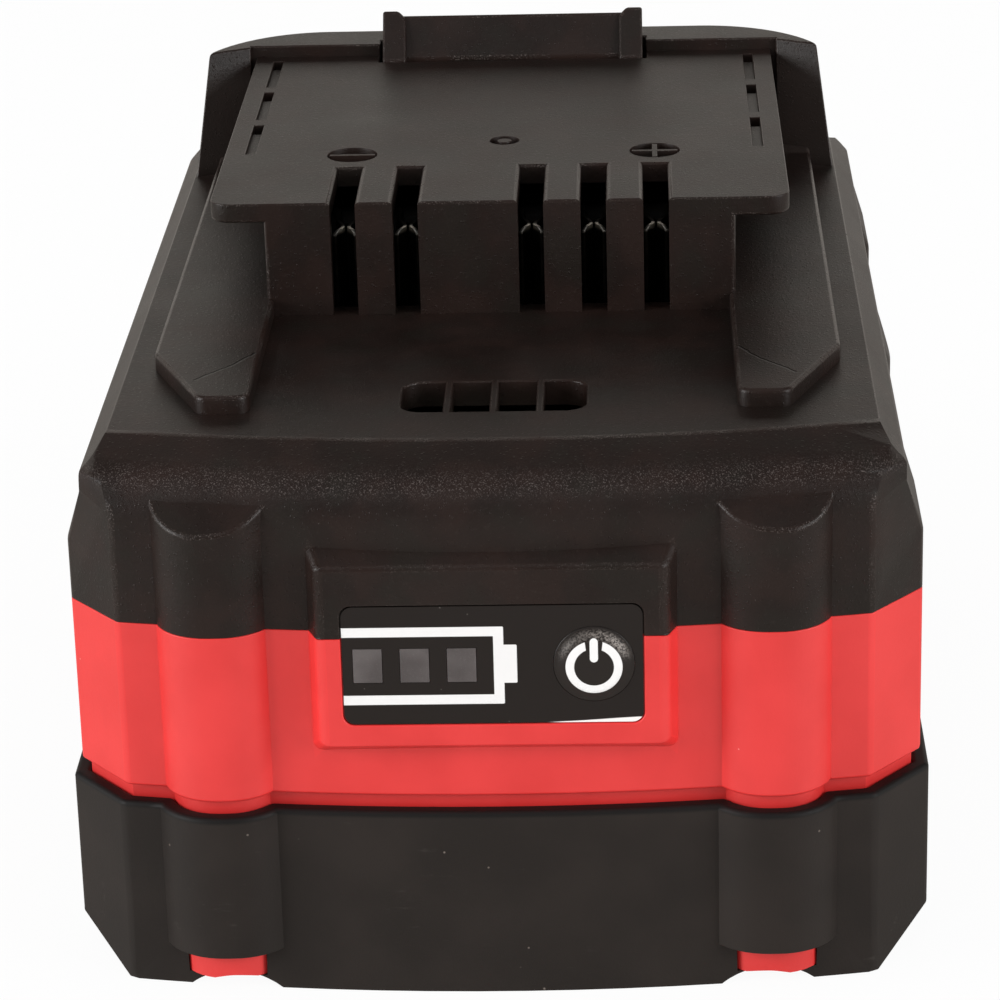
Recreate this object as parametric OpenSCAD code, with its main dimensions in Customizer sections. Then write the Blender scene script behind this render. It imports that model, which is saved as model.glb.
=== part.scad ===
// Slide-on battery pack for cordless power tools, in millimetres.
// X runs across, the gauge faces -Y, +Z is up. The origin is the middle of the footprint, on the ground.

/* [Cells] */
// Diameter of a cell
cell_d = 18.4; // [18:0.05:18.6]
// Length of a cell
cell_l = 65; // [64:0.1:66]
// Web between neighbouring cells in a holder
cell_web = 0.6; // [0.5:0.05:0.8]
// Clearance of a cell in its holder
cell_gap = 0.05; // [0.02:0.01:0.1]
// Length of a cell's raised end
cap_l = 0.8; // [0.5:0.1:1.2]
// Radius of a cell's raised end
cap_r = 3.1; // [2.5:0.1:4]
// Reach of a holder along the cells
holder_l = 12; // [10:0.5:16]
// Thickness of a joining strip
strip_t = 0.3; // [0.15:0.05:0.4]
// Reach of a joining strip past the outer cells' axes
strip_in = 6; // [4:0.2:7]
// Width of a strip's tab
tab_w = 5; // [3:0.2:6]
// Reach of a strip's tab onto the control board
tab_l = 2.2; // [1.5:0.1:2.4]
// Height of the slot in a joining strip
strip_slot_h = 5; // [3:0.2:7]
// Distance of the slot from a joining strip's ends
strip_slot_in = 4; // [3:0.2:5]
// Thickness of an insulating sheet
sheet_t = 0.4; // [0.2:0.05:0.6]
// Gap under an insulating sheet
sheet_low = 4; // [3:0.2:6]

/* [Body] */
// Housing wall
wall_t = 2.4; // [2:0.1:2.8]
// Floor of the lower housing
floor_t = 2.2; // [1.8:0.1:3]
// Gap between the insulating sheets and the side walls
side_gap = 1; // [0.4:0.1:1.6]
// Gap between the holders and the screw columns
end_gap = 0.25; // [0.15:0.05:0.6]
// How far the front and rear walls bow out in the middle
bow = 3.1; // [2.6:0.1:3.6]
// Width of a corner facet
facet_w = 4.8; // [3.6:0.2:6]
// Length of a corner facet
facet_l = 5.8; // [4:0.2:8]
// Height of the parting line between the two housings
part_z = 35.2; // [34.4:0.2:36]
// Room above the control board
head_room = 2.8; // [2.4:0.1:4]

/* [Ribs and pilasters] */
// How far the side ribs stand out from the side wall
rib_out = 1.7; // [1:0.1:2.5]
// Length of a corner rib behind its facet
corner_rib_l = 11.2; // [8:0.2:16]
// Radius of the middle side ribs
mid_rib_r = 10.9; // [8:0.1:16]
// Outer end of a side rib's sloped top, below the deck
rib_top = 9.5; // [7:0.1:11]
// Inner end of a side rib's sloped top, below the deck
rib_root = 4.2; // [3:0.1:6]
// Distance of a pilaster from the middle plane
pil_x = 25; // [24:0.1:26]
// Radius of a pilaster
pil_r = 5.2; // [4.8:0.1:5.6]
// How much wider a pilaster is than its rounding, towards the middle plane
pil_wide = 0.8; // [0.6:0.1:1.2]
// How far a pilaster passes the corner facets
pil_out = 4; // [3.6:0.1:4.4]
// Front end of a pilaster's sloped top, below the deck
pil_top = 5.7; // [5.4:0.1:8]
// Slope of a pilaster's top
pil_top_a = 32; // [26:1:34]

/* [Boot] */
// Height of the boot's rim
boot_h = 18; // [12:0.5:20]
// How far the boot stands out from the lower housing
boot_out = 0.8; // [0.6:0.1:1.4]
// How far the lower housing steps in behind the boot
boot_in = 0.8; // [0.6:0.1:1]
// Thickness of the boot under the floor
boot_t = 1.2; // [0.8:0.1:2]
// Height of the step in the lower housing above the boot's rim
step_up = 1.2; // [0.5:0.1:4]
// Height of the slope along the boot's lower side edges
keel_h = 3.9; // [2:0.1:4.2]
// Width of the slope along the boot's lower side edges
keel_w = 4.7; // [2:0.1:5]
// Width of the window in the boot under each pilaster
notch_w = 7.2; // [6.6:0.1:7.8]
// Height of the boot's pilasters above the ground
notch_h = 4; // [3:0.2:6]
// Width of the arch in the boot's foot under each pilaster
arch_w = 8.4; // [8:0.1:9]
// Height of the arches
arch_h = 1.5; // [1.3:0.1:1.8]
// How far the middle of an arch lies inside that of its pilaster
arch_in = 0.8; // [0.4:0.1:1]
// How much wider the boot's screw holes are than the screw wells
well_gap = 0.5; // [0.3:0.1:0.8]
// Border of the boot round the open floor
boot_rim = 13; // [11:0.5:18]

/* [Deck] */
// Depth of the sloping brow behind the front wall
brow_l = 7.4; // [7:0.2:8.4]
// Slope of the brow
brow_a = 15; // [12:1:18]
// Rounding between the brow and the front wall
brow_r = 4.8; // [4:0.2:5.4]
// Rounding between the deck and the corner facets
facet_r = 4; // [3:0.2:4.6]
// Width of the bevel along the deck's side edges
edge_w = 2.2; // [1:0.1:2.6]
// Height of the bevel along the deck's side edges
edge_h = 2.5; // [1:0.1:3]
// Height of the two raised rails
rail_h = 1.7; // [1:0.1:2.5]
// Outer edge of a raised rail
rail_out = 31.8; // [30:0.1:32.4]
// Distance of the rails' noses from the body's end
rail_nose = 11.5; // [10.5:0.1:13]
// Width of a rail's nose
rail_nose_w = 5.1; // [4.6:0.1:5.6]
// Rounding of a nose's corners
rail_r = 1.3; // [1:0.1:1.8]
// How far the rails' inner edges lie inside the block's sides
rail_in = 0.6; // [0.4:0.1:1]
// Length of the slanting edge behind a nose
rail_slant = 12.4; // [10:0.2:16]
// Width of the vent
vent_w = 16.8; // [14:0.2:20]
// Length of the vent
vent_l = 8; // [7:0.2:9]
// Distance of the vent's middle from the body's end
vent_y = 15.5; // [14.5:0.1:18]
// Width of the bars across the vent
vent_bar = 0.7; // [0.5:0.1:1.5]

/* [Terminal plate] */
// Length of the terminal plate
plate_l = 54.25; // [52:0.25:56]
// Width of the terminal plate
plate_w = 55.5; // [54:0.1:57]
// Height of the plate's top above the deck
plate_h = 11.25; // [10.75:0.05:12]
// Thickness of the plate's flange
plate_t = 1.95; // [1.6:0.05:2.2]
// Width of the block under the plate
block_w = 45.1; // [44.5:0.1:47]
// Rounding of the plate's front corners
plate_r = 2; // [1:0.1:4]
// Distance between neighbouring contact slots
slot_pitch = 6; // [5.6:0.1:6.2]
// Width of a contact slot
slot_w = 2.45; // [2:0.05:2.6]
// Length of a contact slot
slot_l = 11.9; // [11:0.1:12.6]
// Radius of the polarity marks
mark_r = 2.5; // [2:0.1:2.8]
// Line of the polarity marks
mark_line = 0.5; // [0.3:0.05:0.6]
// Depth of the polarity marks and of the dashes
mark_d = 0.5; // [0.2:0.05:0.8]
// Distance of the polarity marks behind the slots
mark_gap = 4.3; // [3.6:0.1:6]
// Length of a dash in the plate
dash_l = 10.4; // [6:0.2:11]
// Width of a dash
dash_w = 1; // [0.6:0.1:1.2]
// Distance between neighbouring dashes
dash_pitch = 12.5; // [11.5:0.1:13]
// Distance of the dashes from the plate's edge
dash_in = 2.5; // [1.5:0.1:4]

/* [Hood] */
// Height of the hood above the plate
hood_h = 1.25; // [0.8:0.05:2]
// Distance of the hood's front wall from the body's rear end
hood_d = 11.65; // [11.4:0.05:12]
// Depth of the hood's top
hood_l = 5.85; // [5.7:0.05:6.6]
// Slope of the hood's rear wall from the vertical
hood_a = 28; // [26:1:30]
// Distance of the hood's sides from the side walls, at the deck
hood_in = 2.4; // [2.2:0.1:3]
// How far the hood's sides lean in towards the top
hood_lean = 1.6; // [1:0.1:3]
// Rounding of the hood's rear corners
hood_r = 14; // [12:0.5:18]
// How far the hood's arms reach in front of its front wall, at the top
arm_l = 2.65; // [2:0.05:3.2]
// Turn of the arms' end faces towards the middle plane, seen from above
arm_turn = 27; // [22:1:32]
// How far the arms' end faces lean back towards the top
arm_lean = 3.2; // [0:0.1:4]
// Gap between an arm and the plate's edge
arm_gap = 0.6; // [0.4:0.1:1.2]

/* [Latch] */
// Width of the latch
latch_w = 28; // [26:0.2:30]
// Depth of the latch's body under the plate
latch_d = 6.6; // [6.4:0.1:6.8]
// How far the ears stand in front of the hood's front wall
latch_fore = 2.45; // [2.2:0.05:2.6]
// Depth of the ears at the plate
ear_d = 3.8; // [3.6:0.1:4.2]
// Height of the bar above the plate
latch_h = 4; // [3.6:0.05:4.2]
// Height of the ears above the bar
ear_h = 0.55; // [0.3:0.05:0.7]
// Width of an ear
ear_w = 2.5; // [1.5:0.1:4]
// How far the bar's foot stands behind the ears' feet
bar_back = 0.95; // [0.9:0.05:1.2]
// How far the front faces of the ears and the bar lean back, from the ears' feet
ear_lean = 3.4; // [3:0.05:3.5]
// Travel of the latch
latch_travel = 5; // [4.6:0.1:5.2]
// Clearance round the latch
latch_gap = 0.35; // [0.25:0.05:0.45]
// Gap under the stop that holds the latch in
stop_gap = 0.1; // [0.05:0.05:0.2]
// Bevel of an ear's inner corner
ear_bevel = 0.8; // [0.3:0.1:1.2]
// Height of the stop under the plate
stop_t = 3.3; // [2.5:0.1:3.6]
// How far the stop reaches past the latch's sides
stop_out = 2; // [1:0.1:3]
// Width of the thumb button
thumb_w = 22; // [20:0.5:23]
// Height of the thumb button
thumb_h = 8; // [7:0.2:8.4]
// Foot of the thumb button below the hood's top
thumb_low = 12.6; // [12.2:0.1:13]
// How far the thumb button stands out of the hood
thumb_out = 1.2; // [0.6:0.1:1.6]
// Grip bars on the thumb button
grip_n = 4; // [3:1:5]
// Radius of a grip bar
grip_r = 0.45; // [0.3:0.05:0.5]
// Thickness of the skirt that closes the thumb button's window
skirt_t = 1.4; // [1:0.1:1.8]
// Distance of a latch spring from the middle plane
spring_x = 9; // [7:0.1:10]
// Outer radius of a latch spring
spring_r = 2.4; // [2.2:0.1:2.5]
// Wire of a latch spring
spring_wire = 0.5; // [0.4:0.05:0.6]
// Turns of a latch spring
spring_turns = 7; // [5:1:9]
// Height of the spring bracket above the holders
bracket_h = 4; // [3.5:0.1:4.2]
// Thickness of the spring bracket
bracket_t = 2.2; // [1.6:0.1:2.6]
// Width of a bracket's foot
foot_w = 5; // [4:0.2:7]
// Height of a spring's peg
peg_l = 3; // [2:0.1:4]

/* [Gauge] */
// Width of the gauge frame's front
bezel_w = 30.8; // [30:0.1:32]
// Height of the gauge frame's front
bezel_h = 17; // [16:0.1:17.6]
// Height of the gauge frame's lower edge
bezel_z = 24.9; // [24.4:0.1:25.6]
// How far the gauge frame stands out from the front wall
bezel_out = 1.4; // [1.1:0.1:1.4]
// Width of the label
label_w = 26.4; // [26:0.1:27.4]
// Height of the label
label_h = 11.2; // [10.4:0.1:12]
// Height of the label's middle
label_z = 32.6; // [32.2:0.1:33]
// Thickness of the label film
label_t = 0.35; // [0.2:0.05:0.4]
// Width of a gauge window
window_w = 2.55; // [2:0.05:2.8]
// Height of a gauge window
window_h = 3.2; // [2.6:0.05:3.6]
// Distance between neighbouring gauge windows
window_pitch = 4.14; // [3.8:0.02:4.2]
// Distance of the middle window from the middle plane
window_x = 6.85; // [6.5:0.05:7]
// Distance of the button from the middle plane
button_x = 8.9; // [8:0.1:9]
// Radius of the button
button_r = 3.4; // [2.8:0.05:3.5]
// How far the button's dome stands out of the gauge frame
dome_h = 0.25; // [0.1:0.05:0.3]
// Travel of the button
button_travel = 0.5; // [0.2:0.05:0.55]
// Clearance round the button
button_gap = 0.2; // [0.15:0.05:0.3]

/* [Boards] */
// Thickness of the control board
board_t = 1.6; // [1:0.1:2]
// Gap between the control board's long edges and the joining strips
board_side = 1.5; // [1:0.1:2.5]
// Length of the control board
board_l = 77; // [75:0.5:78]
// Gap between the control board's rear edge and the spring bracket
board_gap = 1.1; // [0.5:0.1:3]
// Height of the posts under the control board
post_h = 1.6; // [1:0.1:2.4]
// Radius of a post
post_r = 2.5; // [2:0.1:3]
// Top of a contact clip's leaves below the plate's top
clip_low = 3.7; // [3:0.1:5]
// How far the clips' carrier reaches past the outer clips
carrier_side = 3.5; // [2.5:0.1:5]
// Length of the clips' carrier
carrier_l = 13; // [11:0.2:16]
// How far the clips stand out of the carrier
carrier_low = 1.5; // [1:0.1:3]
// Thickness of a contact clip's leaves
leaf_t = 0.4; // [0.3:0.05:0.45]
// Width of the gauge board
gauge_w = 28; // [27:0.5:30]
// Height of the gauge board
gauge_h = 15; // [14:0.5:16]
// Thickness of the gauge board
gauge_t = 1.2; // [0.8:0.1:1.4]
// Distance between the gauge board and the front wall
gauge_gap = 3; // [2.8:0.1:3.2]
// Width of a gauge lamp
lamp_w = 2; // [1.6:0.1:2.4]
// Height of a gauge lamp
lamp_h = 1.6; // [1.2:0.1:2]
// Thickness of a gauge lamp
lamp_t = 1; // [0.6:0.1:1.1]
// Width of the button's switch
switch_w = 5.2; // [4.5:0.1:5.6]
// Radius of the switch's plunger
plunger_r = 1; // [0.8:0.1:1.4]
// Width of the ribbon
ribbon_w = 8; // [5:0.5:10]
// Thickness of the ribbon
ribbon_t = 0.4; // [0.2:0.05:0.5]

/* [Screws] */
// Radius of a case screw's shank
screw_r = 1.4; // [1.2:0.05:1.5]
// Radius of a case screw's head
head_r = 2.3; // [2.1:0.05:2.5]
// Height of a case screw's head
head_h = 2; // [1.5:0.1:2.6]
// Height of a case screw's head seat
seat_z = 20; // [16:0.5:24]
// Thread of a case screw inside the upper housing
grip_l = 7; // [5:0.2:7.4]
// Wall round a screw well
column_t = 0.8; // [0.6:0.05:0.9]
// Radius of a board screw's shank
pin_r = 0.9; // [0.7:0.05:1]

/* [Hidden] */
$fn = 64;
wide_fn = 256;
// A length past every outline, how far a cut passes the face it opens, a push fit and a thread's gap
far = 300;
over = 0.5;
push = 0.1;
thread = 0.02;
// The stack of cells
columns = 5;
pitch = cell_d + cell_web;
hole_r = cell_d / 2 + cell_gap;
floor_z = boot_t + floor_t;
row_z = [floor_z + cell_web + hole_r, floor_z + cell_web + hole_r + pitch];
holder_z = row_z[1] + hole_r + cell_web;
holder_y = (columns - 1) / 2 * pitch + hole_r + cell_web;
strip_x = cell_l / 2;
// The body round it
column_r = head_r + push + column_t;
pil_y = holder_y + end_gap + column_r;
half_l = pil_y + pil_r - pil_out;
wall_x = strip_x + strip_t + sheet_t + side_gap + wall_t;
rib_x = wall_x + rib_out;
face_x = rib_x - facet_w;
bow_r = (pow(face_x, 2) + pow(bow, 2)) / (2 * bow);
bow_y = bow_r - half_l - bow;
facet_a = atan2(facet_w, facet_l);
facet_c = face_x * cos(facet_a) + half_l * sin(facet_a);
step_z = boot_h + step_up;
keel_a = atan2(keel_h, keel_w);
keel_c = (rib_x + boot_out - keel_w) * sin(keel_a);
// The boards and the deck over them
board_z = holder_z + post_h;
board_top = board_z + board_t;
deck_z = board_top + head_room + wall_t;
plate_z = deck_z + plate_h;
flange_z = plate_z - plate_t;
hood_z = plate_z + hood_h;
hood_x = wall_x - hood_in;
hood_front = half_l - hood_d;
hood_edge = hood_front + hood_l;
plate_front = hood_front - plate_l;
block_x = block_w / 2;
slots = [-2.5, -1.5, 0.5, 1.5, 2.5];
clip_front = plate_front + wall_t + push;
clip_top = plate_z - clip_low;
carrier_x = slots[4] * slot_pitch + carrier_side;
post_x = strip_x - holder_l / 2;
post_y = 1.5 * pitch;
// The gauge
bezel_front = -(half_l + bow + bezel_out);
film_front = bezel_front + push;
wall_front = -(half_l + bow) + wall_t;
gauge_y = wall_front + gauge_gap;
flange_y = wall_front + 0.6;
flange_t = 0.55;
flange_w = 0.8;
guide_t = 0.8;
switch_y = flange_y + flange_t + button_travel + push;
// The parts on the control board: length, width, height
socket_size = [ribbon_w + 2, 4, 2];
transistor_size = [6, 7, 2];
transistor_pitch = 9;
chip_size = [7, 7, 1.2];
fuse_size = [8, 4, 2];
transistor_y = clip_front + carrier_l + 12;
chip_y = clip_front - 15;
fuse_x = -18;
pin_l = 4.5;
pin_head_r = 1.8;
pin_head_h = 1.3;
// The contact clips: half width, length and the throat of their leaves
clip_w = 0.9;
clip_l = 9.4;
throat_w = 0.3;
// The latch
latch_front = hood_front - latch_fore;
latch_rear = latch_front + latch_d;
latch_z = plate_z + latch_h;
stop_z = flange_z - stop_gap;
thumb_z = hood_z - thumb_low;
spring_y = latch_rear - spring_r - push;
bracket_y = spring_y - spring_r - over;
spring_top = stop_z - 0.8;
bracket_z = holder_z + bracket_h;
// The control board between the strips, in front of the bracket
board_w = 2 * (strip_x - board_side);
board_rear = bracket_y - board_gap;
board_front = board_rear - board_l;

// The outline given in X and Z, drawn d deep along Y from y
module facing(y, d) {
    translate([0, y + d, 0])
        rotate([90, 0, 0])
            linear_extrude(d)
                children();
}

// The outline given in Y and Z, drawn w wide along X about x
module across(w, x = 0) {
    translate([x, 0, 0])
        rotate([90, 0, 90])
            linear_extrude(w, center = true)
                children();
}

// Its children at the four pilasters
module at_pilasters() {
    for (x = [-pil_x, pil_x], y = [-pil_y, pil_y])
        translate([x, y, 0])
            children();
}

// Its children at the four posts of the control board
module at_posts() {
    for (x = [-post_x, post_x], y = [-post_y, post_y])
        translate([x, y, 0])
            children();
}

// Its children on both sides of the middle plane
module both_sides() {
    children();
    mirror([1, 0, 0])
        children();
}

// A rectangle with rounded corners, about its middle
module rounded(w, h, r) {
    square([w - 2 * r, h], center = true);
    square([w, h - 2 * r], center = true);
    for (x = [r - w / 2, w / 2 - r], y = [r - h / 2, h / 2 - r])
        translate([x, y])
            circle(r);
}

// The bowed ends and the corner facets, t inside the outer face
module ends_2d(t) {
    intersection() {
        translate([0, bow_y])
            circle(bow_r - t, $fn = wide_fn);
        translate([0, -bow_y])
            circle(bow_r - t, $fn = wide_fn);
        rotate(facet_a)
            square([2 * (facet_c - t), far], center = true);
        rotate(-facet_a)
            square([2 * (facet_c - t), far], center = true);
    }
}

// The walls without ribs, t inside the outer face
module core_2d(t) {
    intersection() {
        square([2 * (wall_x - t), far], center = true);
        ends_2d(t);
    }
}

// The walls with the corner ribs and the round middle ribs, t inside the outer face
module ribbed_2d(t) {
    x0 = wall_x - t;
    x1 = rib_x - t;
    y1 = half_l - facet_l - corner_rib_l + t * tan(22.5);
    y0 = y1 - rib_out;
    intersection() {
        polygon([
            [x1, -far], [x1, -y1], [x0, -y0], [x0, y0], [x1, y1], [x1, far],
            [-x1, far], [-x1, y1], [-x0, y0], [-x0, -y0], [-x1, -y1], [-x1, -far]
        ]);
        ends_2d(t);
    }
    for (s = [-1, 1])
        translate([s * (rib_x - mid_rib_r), 0])
            circle(mid_rib_r - t);
}

// The outlines of the four pilasters, t inside the outer face
module pilasters_2d(t) {
    r = pil_r - t;
    at_pilasters()
        circle(r);
    both_sides()
        for (y = [-pil_y, pil_y])
            translate([pil_x - pil_wide, y]) {
                circle(r);
                translate([0, -r])
                    square([pil_wide, 2 * r]);
            }
}

// The whole outline of the lower body, t inside the outer face
module body_2d(t) {
    ribbed_2d(t);
    pilasters_2d(t);
}

// Everything above the sloped lower side edges, d inside the boot's face
module above_keel(d) {
    top = part_z + over;
    low = (keel_c - d) / sin(keel_a);
    high = (keel_c - d + top * cos(keel_a)) / sin(keel_a);
    facing(-far / 2, far)
        polygon([[-low, 0], [low, 0], [high, top], [-high, top]]);
}

// The raised gauge frame from height low to height high
module bezel(low, high) {
    deep = bow + bezel_out;
    side = 0.4 * deep;
    rise = 0.6 * deep;
    w = bezel_w / 2;
    top = bezel_z + bezel_h;
    intersection() {
        translate([0, bezel_front, low])
            linear_extrude(high - low)
                polygon([[-w, 0], [w, 0], [w + side, deep], [-w - side, deep]]);
        across(far)
            polygon([
                [bezel_front, bezel_z],
                [bezel_front + deep, bezel_z - rise],
                [bezel_front + deep, top + rise],
                [bezel_front, top]
            ]);
    }
}

// The three windows, each g larger all round
module windows_2d(g) {
    for (i = [-1, 0, 1])
        translate([i * window_pitch - window_x, label_z])
            square([window_w + 2 * g, window_h + 2 * g], center = true);
}

// The button's disc, g larger all round
module button_2d(g) {
    translate([button_x, label_z])
        circle(button_r + g);
}

// The label's pocket, the windows and the button's hole in the gauge frame
module gauge_cuts() {
    deep = bezel_out + wall_t + bow;
    facing(bezel_front - over, over + push + label_t)
        translate([0, label_z])
            rounded(label_w + 2 * push, label_h + 2 * push, 1);
    facing(bezel_front, deep)
        windows_2d(push);
    facing(bezel_front, deep)
        button_2d(button_gap);
}

// Its children at the four pilasters, d nearer to the middle plane, so that -Y points out of the body
module at_notches(d = 0) {
    for (x = [d - pil_x, pil_x - d], m = [0, 1])
        mirror([0, m, 0])
            translate([x, -pil_y, 0])
                children();
}

// The arches in the boot's foot and in the lower housing behind it
module arches() {
    r = (pow(arch_w / 2, 2) + pow(arch_h, 2)) / (2 * arch_h);
    deep = pil_r + boot_out + over;
    at_notches(arch_in)
        facing(-deep, deep)
            translate([0, arch_h - r])
                circle(r);
}

// The lower housing's sunken foot, which the boot wraps
module sunken_foot() {
    intersection() {
        translate([0, 0, boot_t])
            linear_extrude(step_z - boot_t)
                body_2d(boot_in);
        above_keel(boot_out + boot_in);
    }
}

// Two posts on the front wall that carry the gauge board
module gauge_posts() {
    w = 2;
    for (s = [-1, 1])
        translate([s * (gauge_w / 2 - 1.5) - w / 2, wall_front - over, label_z - gauge_h / 2 + over])
            cube([w, gauge_gap + over, 3]);
}

module lower_housing() {
    color("crimson")
        difference() {
            union() {
                translate([0, 0, step_z])
                    linear_extrude(part_z - step_z)
                        body_2d(0);
                sunken_foot();
                bezel(0, part_z);
            }
            difference() {
                intersection() {
                    translate([0, 0, floor_z])
                        linear_extrude(part_z)
                            core_2d(wall_t);
                    above_keel(boot_out + boot_in + wall_t);
                }
                at_pilasters()
                    cylinder(r = column_r, h = part_z + over);
                gauge_posts();
            }
            at_pilasters() {
                cylinder(r = head_r + push, h = seat_z);
                cylinder(r = screw_r + push, h = part_z + over);
            }
            arches();
            gauge_cuts();
        }
}

module boot() {
    color("dimgray")
        difference() {
            intersection() {
                union() {
                    linear_extrude(boot_h)
                        ribbed_2d(-boot_out);
                    translate([0, 0, notch_h])
                        linear_extrude(boot_h - notch_h)
                            pilasters_2d(-boot_out);
                }
                above_keel(0);
            }
            sunken_foot();
            linear_extrude(3 * boot_t, center = true)
                rounded(2 * (face_x - boot_rim), 2 * (half_l - boot_rim), 4);
            at_notches()
                translate([-notch_w / 2, -pil_r - boot_out - over, boot_t])
                    cube([notch_w, pil_r + boot_out + over, notch_h - boot_t]);
            arches();
            at_pilasters()
                cylinder(r = head_r + push + well_gap, h = 3 * boot_t, center = true);
        }
}

// One end of the deck's sloped and rounded edge, t inside, turned about the bow's axis
module brow_end(t) {
    r = bow_r - t;
    top = deck_z - t;
    mid_z = top - (brow_r + (brow_l - brow_r) * sin(brow_a)) / cos(brow_a);
    arc = [for (i = [0 : 8]) i * (90 - brow_a) / 8];
    translate([0, bow_y, 0])
        rotate_extrude($fn = wide_fn)
            polygon(concat(
                [[0, part_z - over], [r, part_z - over]],
                [for (a = arc) [r - brow_r + brow_r * cos(a), mid_z + brow_r * sin(a)]],
                [[r - brow_l, top], [0, top]]
            ));
}

// The sloped and rounded edges at both ends of the deck
module brow(t) {
    intersection() {
        brow_end(t);
        mirror([0, 1, 0])
            brow_end(t);
    }
}

// The body between two opposite corner facets with their rounded tops, t inside, turned by a
module facet_tops(t, a) {
    c = facet_c - t;
    low = part_z - over;
    high = deck_z - t;
    rotate([0, 0, a])
        facing(-far / 2, far) {
            translate([-c, low])
                square([2 * c, high - facet_r - low]);
            translate([facet_r - c, low])
                square([2 * (c - facet_r), high - low]);
            for (x = [facet_r - c, c - facet_r])
                translate([x, high - facet_r])
                    circle(facet_r);
        }
}

// The upper housing's walls and deck, t inside the outer face
module upper_core(t, low) {
    w = wall_x - t;
    top = deck_z - t;
    intersection() {
        translate([0, 0, low])
            linear_extrude(top - low)
                core_2d(t);
        facing(-far / 2, far)
            polygon([
                [-w, 0], [w, 0], [w, top - edge_h], [w - edge_w, top], [edge_w - w, top], [-w, top - edge_h]
            ]);
        brow(t);
        facet_tops(t, facet_a);
        facet_tops(t, -facet_a);
    }
}

// The upper housing's side ribs with their sloped tops
module upper_ribs() {
    intersection() {
        translate([0, 0, part_z])
            linear_extrude(deck_z - part_z)
                ribbed_2d(0);
        facing(-far / 2, far)
            polygon([
                [-rib_x, 0], [rib_x, 0], [rib_x, deck_z - rib_top], [wall_x, deck_z - rib_root],
                [-wall_x, deck_z - rib_root], [-rib_x, deck_z - rib_top]
            ]);
        brow(0);
    }
}

// The upper housing's pilasters with their sloped tops
module upper_pilasters() {
    y = half_l + pil_out - pil_y;
    z = deck_z - pil_top;
    rise = pil_r * tan(pil_top_a);
    turn = asin(pil_x / bow_r);
    intersection() {
        translate([0, 0, part_z])
            linear_extrude(deck_z - part_z)
                pilasters_2d(0);
        for (s = [-1, 1], m = [0, 1])
            mirror([0, m, 0])
                translate([s * pil_x, -pil_y, 0])
                    rotate([0, 0, s * turn])
                        across(3 * pil_r)
                            polygon([
                                [-2 * y, 0], [-2 * y, z], [-y, z], [pil_r - y, z + rise],
                                [2 * pil_r, z + rise], [2 * pil_r, 0]
                            ]);
    }
}

// The raised rails on the deck
module rails() {
    r = rail_r;
    inner = block_x - rail_in;
    nose_y = -half_l + rail_nose;
    round_y = nose_y + r;
    round_x = [inner + r, inner + rail_nose_w - r];
    slant = [rail_out - round_x[1], rail_slant - r];
    touch = atan2(slant[1], slant[0]) - acos(r / norm(slant));
    translate([0, 0, deck_z - over])
        linear_extrude(rail_h + over)
            both_sides() {
                polygon([
                    [inner, round_y], [round_x[0], nose_y], [round_x[1], nose_y],
                    [round_x[1] + r * cos(touch), round_y + r * sin(touch)],
                    [rail_out, nose_y + rail_slant], [rail_out, hood_front], [inner, hood_front]
                ]);
                for (x = round_x)
                    translate([x, round_y])
                        circle(r);
            }
}

// The terminal plate on its block
module terminal_plate() {
    w = plate_w / 2;
    deep = plate_l + wall_t / 2;
    translate([0, plate_front, flange_z])
        linear_extrude(plate_t) {
            translate([-w, plate_r])
                square([plate_w, deep - plate_r]);
            translate([plate_r - w, 0])
                square([plate_w - 2 * plate_r, deep]);
            for (s = [-1, 1])
                translate([s * (w - plate_r), plate_r])
                    circle(plate_r);
        }
    translate([-block_x, plate_front, deck_z - over])
        cube([block_w, deep, plate_h]);
}

// The hood's sides and its sloped rear with round corners, t inside the outer face
module hood_form(t) {
    w = hood_x - t;
    r = hood_r - t;
    slope = hood_lean / (hood_z - deck_z);
    low = w + slope * (deck_z - part_z);
    high = w - slope * (hood_z - deck_z);
    intersection() {
        translate([0, 0, part_z])
            linear_extrude(hood_z - t - part_z)
                core_2d(t);
        facing(-far / 2, far)
            polygon([[-low, part_z], [low, part_z], [high, hood_z], [-high, hood_z]]);
        translate([0, hood_edge, hood_z])
            rotate([hood_a, 0, 0])
                translate([0, -t, -far / 2])
                    linear_extrude(far) {
                        translate([r - w, -far / 2])
                            square([2 * (w - r), far / 2]);
                        translate([-w, -far / 2])
                            square([2 * w, far / 2 - r]);
                        for (s = [-1, 1])
                            translate([s * (w - r), -r])
                                circle(r);
                    }
    }
}

// The hood with its two arms, whose end faces look forward, inwards and up
module hood() {
    lean = arm_lean / (hood_z - deck_z);
    foot = deck_z - rib_root;
    difference() {
        intersection() {
            hood_form(0);
            union() {
                translate([-far / 2, hood_front, foot])
                    cube([far, far, far]);
                for (s = [-1, 1])
                    translate([s * (hood_x - hood_lean), hood_front - arm_l, 0])
                        rotate([0, 0, -s * arm_turn])
                            across(far)
                                polygon([
                                    [-lean * (hood_z - foot), foot], [far, foot],
                                    [far, hood_z], [0, hood_z]
                                ]);
            }
        }
        translate([-plate_w / 2 - arm_gap, hood_front - far, deck_z])
            cube([plate_w + 2 * arm_gap, far, far]);
    }
}

// The hollow of the upper housing
module upper_hollow() {
    block_in = block_x - wall_t;
    difference() {
        upper_core(wall_t, part_z - over);
        at_pilasters()
            cylinder(r = column_r, h = deck_z);
    }
    translate([-block_in, plate_front + wall_t, holder_z])
        cube([2 * block_in, plate_l, flange_z - holder_z]);
    intersection() {
        hood_form(wall_t);
        translate([-plate_w / 2, hood_front + wall_t, holder_z])
            cube([plate_w, far, far]);
    }
}

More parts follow.
